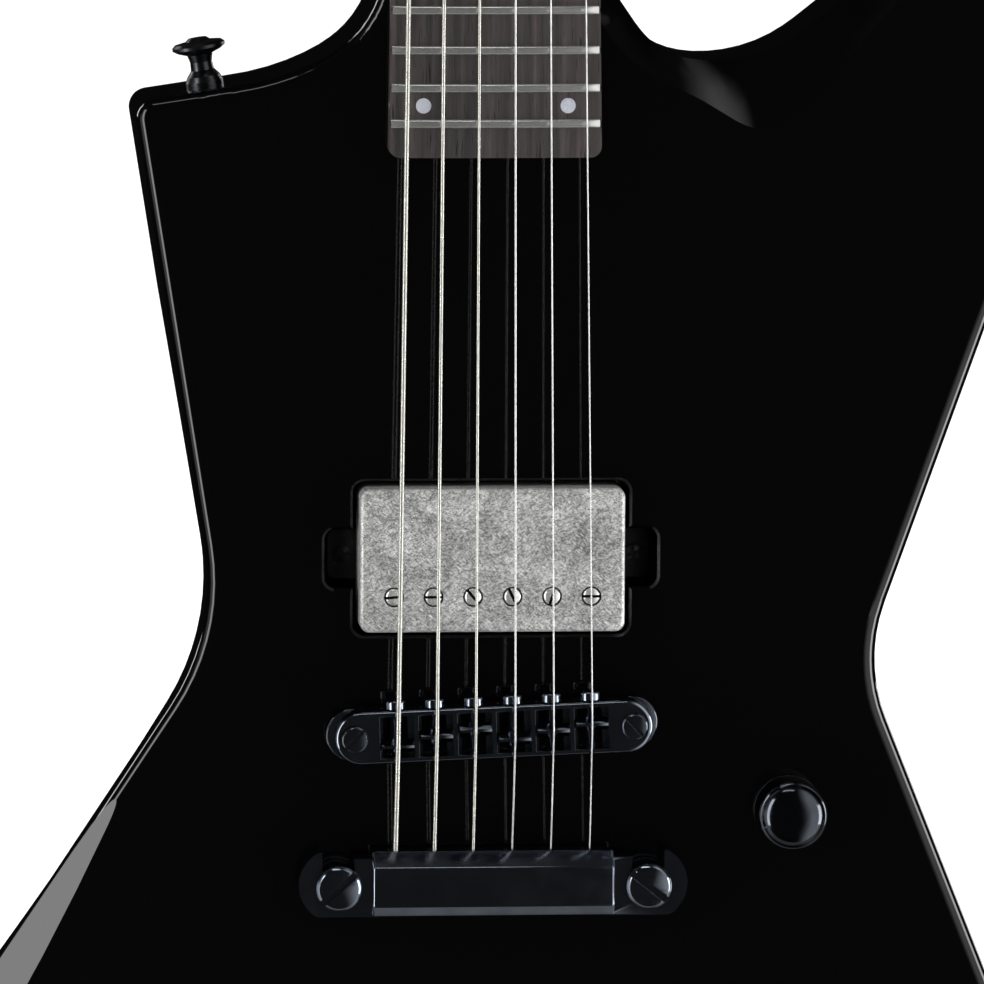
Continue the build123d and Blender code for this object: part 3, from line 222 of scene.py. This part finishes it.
def metal(
    name, color, rough_low, rough_high, scale=150, dull=0.75, scratch=0.3, brushed=None, metallic=1.0
):
    """Plated or bare metal with patchy tarnish and fine scratches in several directions."""
    surface = Surface(name, color, metallic=metallic, roughness=rough_low)
    patch = surface.noise(scale, detail=6, rough=0.62)
    worn = [part * dull for part in color]
    surface.put("Base Color", surface.ramp(patch, (0.36, color), (0.66, worn)))
    surface.put("Roughness", surface.between(patch, rough_low, rough_high, 0.3, 0.72))
    if brushed:
        surface.bump(surface.noise(brushed[0], stretch=brushed[1], detail=3), 0.00001, 0.4)
    for turn in ((0, 0.35, 0), (0.5, 1.4, 0.3), (0, -0.85, 0.8)):
        line = surface.noise(1500, stretch=(1, 1, 0.022), turn=turn, detail=1)
        surface.bump(surface.between(line, 0, 1, 0.70, 0.76), -0.000008, scratch)
    return surface


def aged_nickel():
    """Dulled nickel, rubbed through in places and covered in short scratches that cross each other."""
    surface = Surface("aged_nickel", (0.6, 0.6, 0.58), metallic=0.45, roughness=0.35)
    cloud = surface.noise(95, detail=7, rough=0.7, distortion=0.5)
    speck = surface.noise(1300, detail=4, rough=0.65)
    base = surface.ramp(cloud, (0.30, (0.34, 0.34, 0.335)), (0.50, (0.60, 0.60, 0.59)),
                        (0.70, (0.98, 0.98, 0.96)))
    dark = surface.ramp(cloud, (0.30, (0.03, 0.03, 0.032)), (0.70, (0.13, 0.13, 0.13)))
    scratched = surface.between(speck, 0, 0.75, 0.50, 0.64)
    for angle, length in ((0.5, 0.13), (1.25, 0.17), (-0.75, 0.11), (2.25, 0.18), (1.75, 0.10)):
        line = surface.noise(5200, stretch=(1, 1, length), turn=(0, angle, 0), detail=2, distortion=0.4)
        scratched = surface.math("MAXIMUM", scratched, surface.between(line, 0, 0.85, 0.57, 0.67))
    rubbed = surface.noise(3000, stretch=(1, 1, 0.15), turn=(0, 0.9, 0), detail=2)
    burnished = surface.between(rubbed, 0, 0.8, 0.60, 0.70)
    bright = surface.ramp(cloud, (0.30, (0.9, 0.9, 0.88)), (0.70, (1, 1, 1)))
    surface.put("Base Color", surface.mix(burnished, surface.mix(scratched, base, dark), bright))
    surface.put("Roughness", surface.between(cloud, 0.46, 0.26, 0.3, 0.7))
    surface.bump(scratched, -0.00003, 0.6)
    return surface


def plastic(name, color, rough_low, rough_high, grain=1800, depth=0.00001):
    surface = Surface(name, color, roughness=rough_low)
    cloud = surface.noise(140, detail=4)
    lighter = [part * 1.5 + 0.001 for part in color]
    surface.put("Base Color", surface.ramp(cloud, (0.3, color), (0.7, lighter)))
    surface.put("Roughness", surface.between(cloud, rough_low, rough_high, 0.3, 0.7))
    surface.bump(surface.noise(grain, detail=2), depth, 0.5)
    return surface


def pearl():
    surface = Surface("pearl", (0.7, 0.7, 0.72), roughness=0.18, coat=0.5)
    cloud = surface.noise(420, detail=3, distortion=2.2)
    surface.put("Base Color", surface.ramp(cloud, (0.28, (0.26, 0.24, 0.34)), (0.45, (0.40, 0.39, 0.43)),
                                           (0.60, (0.32, 0.36, 0.41)), (0.78, (0.48, 0.47, 0.47))))
    surface.put("Roughness", surface.between(cloud, 0.12, 0.26))
    return surface


def coil_wire():
    surface = metal("copper_wire", (0.45, 0.18, 0.07), 0.25, 0.45, scale=300)
    turns = surface.noise(9000, stretch=(0.01, 1, 0.01), detail=1)
    surface.bump(turns, 0.00004, 0.7)
    return surface


def pole_nickel():
    """Dull nickel, painted near black below the top of the dome as shade in the slots and round the rims of
    the pole screws.
    """
    surface = metal("pole_nickel", (0.80, 0.80, 0.78), 0.2, 0.36, scale=700, dull=0.6, metallic=0.75)
    unshaded = surface.shader.inputs["Base Color"].links[0].from_socket
    place = surface.nodes.new("ShaderNodeSeparateXYZ")
    surface.links.new(surface.place, place.inputs[0])
    # painted shade: near black below about 5 mm out from the body front, in the slots and round the rims of
    # the pole screws
    slot_and_rim_shade = surface.between(place.outputs["Y"], 0, 1, -0.01955, -0.01925)
    black = surface.ramp(slot_and_rim_shade, (0, (0.012, 0.012, 0.012)), (1, (0.012, 0.012, 0.012)))
    surface.put("Base Color", surface.mix(slot_and_rim_shade, unshaded, black))
    return surface


finishes = {
    "gloss_black": lacquer(),
    "rosewood": rosewood(),
    "fret_steel": metal(
        "fret_steel", (0.62, 0.62, 0.60), 0.14, 0.26, dull=0.85, brushed=(2400, (0.04, 1, 1)), metallic=0.85
    ),
    "pearl": pearl(),
    "black_nut": plastic("black_nut", (0.012, 0.012, 0.012), 0.3, 0.45),
    "zinc_steel": metal("zinc_steel", (0.5, 0.5, 0.5), 0.28, 0.45),
    "black_plastic": plastic("black_plastic", (0.008, 0.008, 0.009), 0.34, 0.5, grain=2600, depth=0.00002),
    "black_steel": metal("black_steel", (0.055, 0.057, 0.062), 0.22, 0.4, dull=0.6),
    "string_nickel": metal(
        "string_nickel", (0.66, 0.65, 0.60), 0.22, 0.36, scale=500, dull=0.8, metallic=0.85
    ),
    "string_steel": metal(
        "string_steel", (0.72, 0.72, 0.71), 0.16, 0.28, scale=500, dull=0.85, metallic=0.9
    ),
    "black_chrome": metal(
        "black_chrome", (0.24, 0.27, 0.32), 0.08, 0.17, scale=120, dull=0.8, scratch=0.12
    ),
    "aged_nickel": aged_nickel(),
    "magnet": metal("magnet", (0.12, 0.12, 0.12), 0.55, 0.75, scale=600),
    "copper_wire": coil_wire(),
    "pole_nickel": pole_nickel(),
    "wire_insulation": plastic("wire_insulation", (0.02, 0.02, 0.02), 0.45, 0.6),
    "knob_black": metal(
        "knob_black", (0.075, 0.082, 0.095), 0.07, 0.16, scale=220, dull=0.8, scratch=0.15
    ),
    "brass_shaft": metal("brass_shaft", (0.55, 0.40, 0.15), 0.22, 0.4, scale=300),
}

for part in frame["record"]["subparts"]:
    node = frame["nodes"][part["node"]]
    node.data.materials.clear()
    node.data.materials.append(finishes[part["material_slot"]].material)


# ---------------------------------------------------------------- mesh helpers
def plain_mesh(name, points, faces):
    mesh = bpy.data.meshes.new(name)
    mesh.from_pydata([tuple(point) for point in points], [], faces)
    mesh.validate()
    mesh.polygons.foreach_set("use_smooth", [True] * len(mesh.polygons))
    mesh.update()
    piece = bpy.data.objects.new(name, mesh)
    bpy.context.scene.collection.objects.link(piece)
    return piece


def add_mesh(name, points, faces, slot_name, body):
    piece = plain_mesh(name, points, faces)
    piece.data.materials.append(finishes[slot_name].material)
    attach(piece, body)
    return piece


def rings_to_faces(rings, around, first=0):
    """Faces between rings of points that follow each other, with both ends closed."""
    faces = []
    for ring in range(rings - 1):
        low = first + ring * around
        for step in range(around):
            after = (step + 1) % around
            faces.append((low + step, low + after, low + around + after, low + around + step))
    faces.append(tuple(first + step for step in reversed(range(around))))
    faces.append(tuple(first + (rings - 1) * around + step for step in range(around)))
    return faces


def frame_along(direction, side=None):
    """Two directions square to a direction."""
    first = (side or Vector((1, 0, 0))).copy()
    first -= direction * first.dot(direction)
    first.normalize()
    return first, direction.cross(first)


def tube(points, directions, radii, around, side=None):
    """Rings of points round a path."""
    rings = []
    for point, direction, radius in zip(points, directions, radii):
        first, second = frame_along(direction, side)
        for step in range(around):
            angle = tau * step / around
            rings.append(point + (first * cos(angle) + second * sin(angle)) * radius)
    return rings


# ---------------------------------------------------------------- strings
def string_points(index):
    """From the tuner post over the nut and the saddle into the tailpiece."""
    share = index / 5 - 0.5
    side, along = TUNERS[index]
    post_x = side * (post_inset(along) - POST_RADIUS - STRING_RADII[index] - 0.3 * MM)
    nut_x = NUT_SPREAD * share
    saddle_x = BRIDGE_SPREAD * share
    return (
        on_head(post_x, along, POST_HEIGHT - 3 * MM),
        on_front(nut_x, 2.5 * MM, -2.4 * MM - crown_drop(nut_x)),
        on_bridge(saddle_x, SADDLE_OFFSETS[index], 16.2 * MM - crown_drop(saddle_x)),
        on_front(saddle_x, -0.664, 9 * MM),
        on_front(saddle_x, -0.674, 9 * MM),
    )


def path_samples(corners, spacing):
    """Points at even steps along a path of straight runs, with their directions."""
    points, directions = [], []
    carried = 0.0
    for start, end in zip(corners, corners[1:]):
        run = end - start
        direction = run.normalized()
        reached = carried
        while reached < run.length:
            points.append(start + direction * reached)
            directions.append(direction)
            reached += spacing
        carried = reached - run.length
    return points, directions


STRING_SIDES = 8
WIRE_PROFILE = (0.0, 0.85, 1.0, 0.85)  # radius over one turn of the winding
WINDING_DEPTH = 0.14  # as a share of the string's radius
WOUND_TURNS, PLAIN_TURNS = 3.6, 5.2  # turns of string round a tuner post
STEPS_PER_TURN = 28

wound_vertices, wound_faces = [], []
for index in range(3):
    radius, pitch = STRING_RADII[index], WINDING_PITCH[index]
    points, directions = path_samples(string_points(index), pitch / len(WIRE_PROFILE))
    depth = radius * WINDING_DEPTH
    radii = [radius - depth + depth * WIRE_PROFILE[step % len(WIRE_PROFILE)] for step in range(len(points))]
    first = len(wound_vertices)
    wound_vertices += tube(points, directions, radii, STRING_SIDES)
    wound_faces += rings_to_faces(len(points), STRING_SIDES, first)
wound = add_mesh("wound_string_windings", wound_vertices, wound_faces, "string_nickel", "root")
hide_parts("wound_strings")

for index in range(6):
    side, along = TUNERS[index]
    radius = STRING_RADII[index]
    slot_name = "string_nickel" if index < 3 else "string_steel"
    turns = WOUND_TURNS if index < 3 else PLAIN_TURNS
    steps = int(turns * STEPS_PER_TURN)
    centre = on_head(side * post_inset(along), along, 0)
    across = Vector((1, 0, 0))
    points, directions = [], []
    for step in range(steps):
        share = step / (steps - 1)
        angle = pi * (side > 0) + side * tau * turns * share
        spoke = across * cos(angle) + HEAD_UP * sin(angle)
        height = POST_HEIGHT - 3 * MM - (radius * 2.1) * turns * share
        points.append(centre + spoke * (POST_RADIUS + radius) + HEAD_NORMAL * height)
    for step in range(steps):
        after = points[min(step + 1, steps - 1)] - points[max(step - 1, 0)]
        directions.append(after.normalized())
    rings = tube(points, directions, [radius * 0.97] * steps, STRING_SIDES, HEAD_NORMAL)
    faces = rings_to_faces(steps, STRING_SIDES)
    add_mesh(f"string_wrap_{index + 1}", rings, faces, slot_name, f"tuner_post_{index + 1}")

# ---------------------------------------------------------------- rounded frets over the plain CAD ones
SCALE_LENGTH = 628.65 * MM
NECK_ANGLE = radians(1.44)
BOARD_ORIGIN = Vector((0, -NECK_HALF, 0))
BOARD_UP = Vector((0, sin(NECK_ANGLE), cos(NECK_ANGLE)))
BOARD_NORMAL = Vector((0, -cos(NECK_ANGLE), sin(NECK_ANGLE)))
BOARD_LENGTH = 480.5 * MM
FRET_HALF_WIDTH = 1.15 * MM
FRET_HEIGHT = 1.1 * MM
TANG_HALF_WIDTH = 0.28 * MM
TANG_DEPTH = 2.5 * MM
FRET_STEPS = 24
CROWN_STEPS = 12


def board_half_width(distance):
    return (21.5 + 6.55 * distance / BOARD_LENGTH) * MM


fret_section = [(TANG_HALF_WIDTH, -TANG_DEPTH), (TANG_HALF_WIDTH, 0.0), (FRET_HALF_WIDTH, 0.0)]
for step in range(CROWN_STEPS + 1):
    angle = pi * step / CROWN_STEPS
    fret_section.append((FRET_HALF_WIDTH * cos(angle), 0.12 * MM + (FRET_HEIGHT - 0.14 * MM) * sin(angle)))
fret_section += [(-FRET_HALF_WIDTH, 0.0), (-TANG_HALF_WIDTH, 0.0), (-TANG_HALF_WIDTH, -TANG_DEPTH)]
fret_points, fret_faces = [], []
for number in range(1, 25):
    distance = SCALE_LENGTH * (1 - 2 ** (-number / 12))
    half = board_half_width(distance) - 0.45 * MM
    first = len(fret_points)
    for step in range(FRET_STEPS + 1):
        x = half * (2 * step / FRET_STEPS - 1)
        slope = 1 if 0 < step < FRET_STEPS else 0.35
        for along, height in fret_section:
            place = BOARD_ORIGIN + BOARD_UP * (along - distance)
            lift = height * slope if height > 0 else height
            fret_points.append(place + Vector((x, 0, 0)) + BOARD_NORMAL * (lift - crown_drop(x)))
    fret_faces += rings_to_faces(FRET_STEPS + 1, len(fret_section), first)
rounded = add_mesh("rounded_frets", fret_points, fret_faces, "fret_steel", "root")
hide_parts("frets")

# ---------------------------------------------------------------- volume knob with a knurled side
KNOB_CENTRE = on_front(79.2 * MM, -654.3 * MM, 0)
KNOB_RADIUS = 9.15 * MM
KNURLS = 58
KNURL_LEVELS = 78
POINTS_PER_KNURL = 6
KNURL_DEPTH = 0.34 * MM
KNURL_LOW, KNURL_HIGH = 1.7 * MM, 12.7 * MM
KNURL_PITCH = tau * KNOB_RADIUS / KNURLS * 1.5


def wave(value):
    """A triangle wave from 0 in the groove to 1 on the ridge."""
    return 1 - abs(2 * (value - floor(value)) - 1)


def knob_ring(height, radius, around, knurled):
    ring = []
    for step in range(around):
        share = step / around
        reach = radius
        if knurled:
            up = height / KNURL_PITCH
            groove = min(wave(share * KNURLS + up), wave(share * KNURLS - up))
            reach -= KNURL_DEPTH * (1 - min(1, groove * 1.6))
        angle = tau * share
        ring.append(KNOB_CENTRE + Vector((cos(angle) * reach, -height, sin(angle) * reach)))
    return ring


around = KNURLS * POINTS_PER_KNURL
profile = [(5.0, 3.08), (0.8, 7.4), (0.8, 8.85), (1.2, 9.15), (1.65, 9.15)]
rings = [knob_ring(5.0 * MM, 7.4 * MM, around, False), knob_ring(0.8 * MM, 7.4 * MM, around, False)]
rings += [knob_ring(h * MM, r * MM, around, False) for h, r in profile[2:]]
for level in range(KNURL_LEVELS):
    height = KNURL_LOW + (KNURL_HIGH - KNURL_LOW) * level / (KNURL_LEVELS - 1)
    rings.append(knob_ring(height, KNOB_RADIUS, around, True))
# height and radius of the knob's domed top, in millimetres
DOME = ((12.75, 9.15), (13.15, 9.12), (13.45, 9.0), (13.85, 8.65), (14.0, 8.4), (14.5, 8.1), (15.0, 7.7),
        (15.6, 7.05), (16.1, 6.3), (16.5, 5.3), (16.75, 4.2), (16.9, 3.0), (16.97, 1.6), (17.0, 0.5))
rings += [knob_ring(h * MM, r * MM, around, False) for h, r in DOME]
points = [point for ring in rings for point in ring]
faces = rings_to_faces(len(rings), around)
knob = add_mesh("volume_knob_knurled", points, faces, "knob_black", "volume_control")
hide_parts("volume_knob")

# ---------------------------------------------------------------- threaded intonation screws
THREAD_PITCH = 0.5 * MM
SCREW_RADIUS = 1.4 * MM
SCREW_HEIGHT = 10.2 * MM
SCREW_START = -6.4 * MM
THREAD_LENGTH = 13.0 * MM
THREAD_DEPTH = 0.2 * MM
SCREW_AROUND = 16
THREAD_STEPS = 6
# distance along the screw and radius of its head, in millimetres
SCREW_HEAD = ((7.2, 1.4), (7.2, 2.5), (7.3, 2.65), (8.9, 2.65), (9.2, 2.55), (9.4, 2.3), (9.5, 1.9))


def screw_mesh(x):
    """A threaded shaft under a cheese head with a rounded rim, along the bridge's up direction."""
    origin = on_bridge(x, 0, SCREW_HEIGHT)
    stations = []
    count = int(THREAD_LENGTH / THREAD_PITCH * THREAD_STEPS)
    for level in range(count + 1):
        stations.append((SCREW_START + level * THREAD_PITCH / THREAD_STEPS, None))
    for along, radius in SCREW_HEAD:
        stations.append((along * MM, radius * MM))
    points = []
    for along, radius in stations:
        for step in range(SCREW_AROUND):
            share = step / SCREW_AROUND
            reach = radius
            if radius is None:
                reach = SCREW_RADIUS * 0.985 - THREAD_DEPTH * (1 - wave(along / THREAD_PITCH - share))
            angle = tau * share
            points.append(
                origin + BRIDGE_UP * along + BRIDGE_ALONG * cos(angle) * reach + OUTWARD * sin(angle) * reach
            )
    return points, rings_to_faces(len(stations), SCREW_AROUND)


def cutter(centre, axis_x, axis_y, axis_z, size):
    """A block that cuts a driver slot."""
    mesh = bpy.data.meshes.new("cutter")
    shape = bmesh.new()
    bmesh.ops.create_cube(shape, size=1)
    turned = Matrix((axis_x, axis_y, axis_z)).transposed().to_4x4()
    for vertex in shape.verts:
        local = Vector((vertex.co.x * size[0], vertex.co.y * size[1], vertex.co.z * size[2]))
        vertex.co = centre + turned @ local
    shape.normal_update()
    bmesh.ops.recalc_face_normals(shape, faces=shape.faces)
    shape.to_mesh(mesh)
    shape.free()
    block = bpy.data.objects.new("cutter", mesh)
    bpy.context.scene.collection.objects.link(block)
    return block


def cut(piece, block):
    modifier = piece.modifiers.new("cut", "BOOLEAN")
    modifier.operation = "DIFFERENCE"
    modifier.solver = "EXACT"
    modifier.object = block
    bpy.context.view_layer.update()
    evaluated = piece.evaluated_get(bpy.context.evaluated_depsgraph_get())
    mesh = bpy.data.meshes.new_from_object(evaluated)
    piece.modifiers.clear()
    piece.data = mesh
    bpy.data.objects.remove(block)


def sharpen(piece, limit=35):
    """Smooth shading with crisp edges where two faces meet at more than the limit."""
    shape = bmesh.new()
    shape.from_mesh(piece.data)
    for edge in shape.edges:
        edge.smooth = len(edge.link_faces) == 2 and edge.calc_face_angle(0) < radians(limit)
    for face in shape.faces:
        face.smooth = True
    shape.to_mesh(piece.data)
    shape.free()


for index in range(6):
    x = BRIDGE_SPREAD * (index / 5 - 0.5)
    points, faces = screw_mesh(x)
    name = f"saddle_screw_{index + 1}"
    screw = add_mesh(f"intonation_screw_{index + 1}", points, faces, "black_chrome", name)
    slot_centre = on_bridge(x, 9.2 * MM, SCREW_HEIGHT)
    cut(screw, cutter(slot_centre, BRIDGE_ALONG, BRIDGE_UP, OUTWARD, (6 * MM, 1.4 * MM, 0.7 * MM)))
    sharpen(screw)
    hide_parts(name)
sharpen(knob, 60)
sharpen(rounded, 50)

# ---------------------------------------------------------------- domed pole screws, each slot turned
POLE_SLOTS = (5, 0, -50, -65, 75, 0)  # degrees
POLE_SPREAD = 52.2 * MM  # first pole to last
POLE_ROW = -0.5965
POLE_AROUND = 28
# height over the front and radius, in millimetres
POLE_PROFILE = ((-14.0, 1.5), (3.2, 1.5), (3.2, 2.42), (4.6, 2.42), (5.1, 2.32), (5.45, 2.08), (5.7, 1.65),
                (5.84, 1.0), (5.9, 0.3))
pole_points, pole_faces = [], []
for index in range(6):
    x = POLE_SPREAD * (index / 5 - 0.5)
    points = []
    for height, radius in POLE_PROFILE:
        for step in range(POLE_AROUND):
            angle = tau * step / POLE_AROUND
            reach = radius * MM
            points.append(on_front(x + cos(angle) * reach, POLE_ROW + sin(angle) * reach, height * MM))
    screw = plain_mesh("pole_screw", points, rings_to_faces(len(POLE_PROFILE), POLE_AROUND))
    tilt = radians(POLE_SLOTS[index])
    across, along = Vector((cos(tilt), 0, sin(tilt))), Vector((sin(tilt), 0, -cos(tilt)))
    slot_centre = on_front(x, POLE_ROW, 5.4 * MM)
    cut(screw, cutter(slot_centre, across, OUTWARD, along, (6 * MM, 2.2 * MM, 0.75 * MM)))
    first = len(pole_points)
    pole_points += [vertex.co.copy() for vertex in screw.data.vertices]
    pole_faces += [tuple(first + corner for corner in face.vertices) for face in screw.data.polygons]
    bpy.data.objects.remove(screw)
poles = add_mesh("pole_screws_domed", pole_points, pole_faces, "pole_nickel", "root")
sharpen(poles)
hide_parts("pole_screws")



def eased(node_name, width, body="root", slot_name="black_chrome", limit=30):
    """A CAD piece with every sharp edge eased, so that it catches the light."""
    source = frame["nodes"][node_name]
    mesh = source.data.copy()
    mesh.transform(source.matrix_world)
    shape = bmesh.new()
    shape.from_mesh(mesh)
    bmesh.ops.remove_doubles(shape, verts=shape.verts, dist=0.000002)
    bmesh.ops.dissolve_limit(shape, angle_limit=radians(0.5), verts=shape.verts, edges=shape.edges)
    sharp = [edge for edge in shape.edges if edge.calc_face_angle(0) > radians(limit)]
    bmesh.ops.bevel(
        shape, geom=sharp, offset=width, segments=2, profile=0.5, affect="EDGES", clamp_overlap=True
    )
    bmesh.ops.triangulate(shape, faces=shape.faces)
    points = [vertex.co.copy() for vertex in shape.verts]
    faces = [tuple(vertex.index for vertex in face.verts) for face in shape.faces]
    shape.free()
    bpy.data.meshes.remove(mesh)
    piece = add_mesh(f"{node_name}_eased", points, faces, slot_name, body)
    sharpen(piece, 20)
    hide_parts(node_name)
    return piece


eased("bridge_studs", 0.16 * MM)
eased("tail_studs", 0.22 * MM)
eased("bridge_body", 0.14 * MM)
eased("tailpiece", 0.22 * MM)
SADDLE_REACH = 3.4 * MM  # how far a saddle slides from the middle of its window
NOTCH_PLAY = 0.06 * MM
for index in range(6):
    saddle = eased(f"saddle_{index + 1}", 0.16 * MM, f"saddle_{index + 1}")
    # a notch deep enough for the slope of the string when the saddle slides toward the tail
    bend, tail_end = string_points(index)[2:4]
    rise = (bend - tail_end).normalized()
    across = (BRIDGE_ALONG - rise * BRIDGE_ALONG.dot(rise)).normalized()
    out = across.cross(rise)
    reach = STRING_RADII[index] + NOTCH_PLAY
    floor_point = bend + BRIDGE_UP * (SADDLE_REACH + SADDLE_OFFSETS[index]) - out * reach
    cut(saddle, cutter(floor_point + out * 2 * MM, across, rise, out, (2 * reach, 24 * MM, 4 * MM)))
    sharpen(saddle, 20)

# ---------------------------------------------------------------- floor, world and lights
floor_mesh = bpy.data.meshes.new("floor")
floor_z = cad_low.z - 0.004
floor_mesh.from_pydata(
    [(-8, -0.9, floor_z), (8, -0.9, floor_z), (8, 14, floor_z), (-8, 14, floor_z)], [], [(0, 1, 2, 3)],
)
floor_piece = bpy.data.objects.new("floor", floor_mesh)
bpy.context.scene.collection.objects.link(floor_piece)
floor_look = Surface("floor_paper", (0.9, 0.9, 0.9), roughness=0.9)
floor_look.bump(floor_look.noise(700, detail=3), 0.0001, 0.2)
floor_look.shader.inputs["Emission Color"].default_value = (1, 1, 1, 1)
floor_look.shader.inputs["Emission Strength"].default_value = 0.3
floor_mesh.materials.append(floor_look.material)
floor_piece.visible_glossy = False
floor_piece.visible_shadow = False

world = bpy.data.worlds.new("studio")
bpy.context.scene.world = world
world.use_nodes = True
world_nodes, world_links = world.node_tree.nodes, world.node_tree.links
background = world_nodes["Background"]


def world_node(kind, operation=None):
    node = world_nodes.new(kind)
    if operation:
        node.operation = operation
    return node


# white to the eye and as soft fill, but for what mirrors it a dark room with a pale wall at each side
# and a pale band to the front
toward = world_node("ShaderNodeSeparateXYZ")
world_links.new(world_node("ShaderNodeTexCoord").outputs["Generated"], toward.inputs[0])


def world_range(value, start, end, low, high):
    node = world_node("ShaderNodeMapRange")
    node.interpolation_type = "SMOOTHSTEP"
    for name, number in (("From Min", start), ("From Max", end), ("To Min", low), ("To Max", high)):
        node.inputs[name].default_value = number
    world_links.new(value, node.inputs["Value"])
    return node.outputs["Result"]


def world_math(kind, first, second):
    node = world_node("ShaderNodeMath", kind)
    world_links.new(first, node.inputs[0])
    world_links.new(second, node.inputs[1])
    return node.outputs[0]


right_wall = world_range(toward.outputs["X"], 0.20, 0.60, 0.0, 1.2)
left_wall = world_range(toward.outputs["X"], -0.95, -0.65, 0.45, 0.0)
wall = world_math("ADD", right_wall, left_wall)
ahead = world_range(toward.outputs["Y"], -0.30, 0.0, 1.0, 0.0)
level = world_range(toward.outputs["Y"], -0.8, -0.1, 0.018, 0.003)
band_front = world_range(toward.outputs["Y"], -0.34, -0.16, 0.0, 0.7)
band_back = world_range(toward.outputs["Y"], 0.04, 0.18, 1.0, 0.0)
band_low = world_range(toward.outputs["Z"], 0.0, 0.35, 1.0, 0.04)
band_floor = world_range(toward.outputs["Z"], -0.9, -0.6, 0.4, 1.0)
band_across = world_math("MULTIPLY", band_front, band_back)
band_height = world_math("MULTIPLY", band_low, band_floor)
band = world_math("MULTIPLY", band_across, band_height)
mirrored = world_math("ADD", world_math("MULTIPLY", wall, ahead), level)
mirrored = world_math("ADD", mirrored, band)
light_path = world_node("ShaderNodeLightPath")
strength = world_node("ShaderNodeMix")
strength.inputs["A"].default_value = 1.0
world_links.new(light_path.outputs["Is Glossy Ray"], strength.inputs["Factor"])
world_links.new(mirrored, strength.inputs["B"])
world_links.new(strength.outputs["Result"], background.inputs["Strength"])
background.inputs["Color"].default_value = (1, 1, 1, 1)
bpy.context.scene.view_settings.view_transform = "Standard"

SUBJECT = Vector((0, -BODY_FRONT, -0.57))


def softbox(name, direction, distance, width, height, radiance, target=SUBJECT):
    """An area light of a given radiance, facing the target."""
    lamp = bpy.data.lights.new(name, "AREA")
    lamp.shape = "RECTANGLE"
    lamp.size, lamp.size_y = width, height
    lamp.energy = radiance * width * height * pi
    light = bpy.data.objects.new(name, lamp)
    bpy.context.scene.collection.objects.link(light)
    towards = Vector(direction).normalized()
    light.location = target + towards * distance
    light.rotation_euler = towards.to_track_quat("Z", "Y").to_euler()
    return light


softbox("left_box", (-0.87, -0.43, 0.06), 1.7, 0.5, 2.2, 5.5)
softbox("right_box", (0.98, -0.16, -0.10), 1.7, 0.6, 1.1, 7.0)
softbox("high_strip", (-0.10, -0.30, 0.95), 2.2, 1.1, 0.26, 3.0)
softbox("low_strip", (0.05, 0.60, -1.00), 1.6, 1.0, 0.6, 3.0)
softbox("back_left_box", (-0.8, 0.9, 0.4), 2.4, 0.6, 1.4, 4.0)
softbox("back_right_box", (0.9, 1.0, 0.3), 2.4, 0.6, 1.4, 4.0)
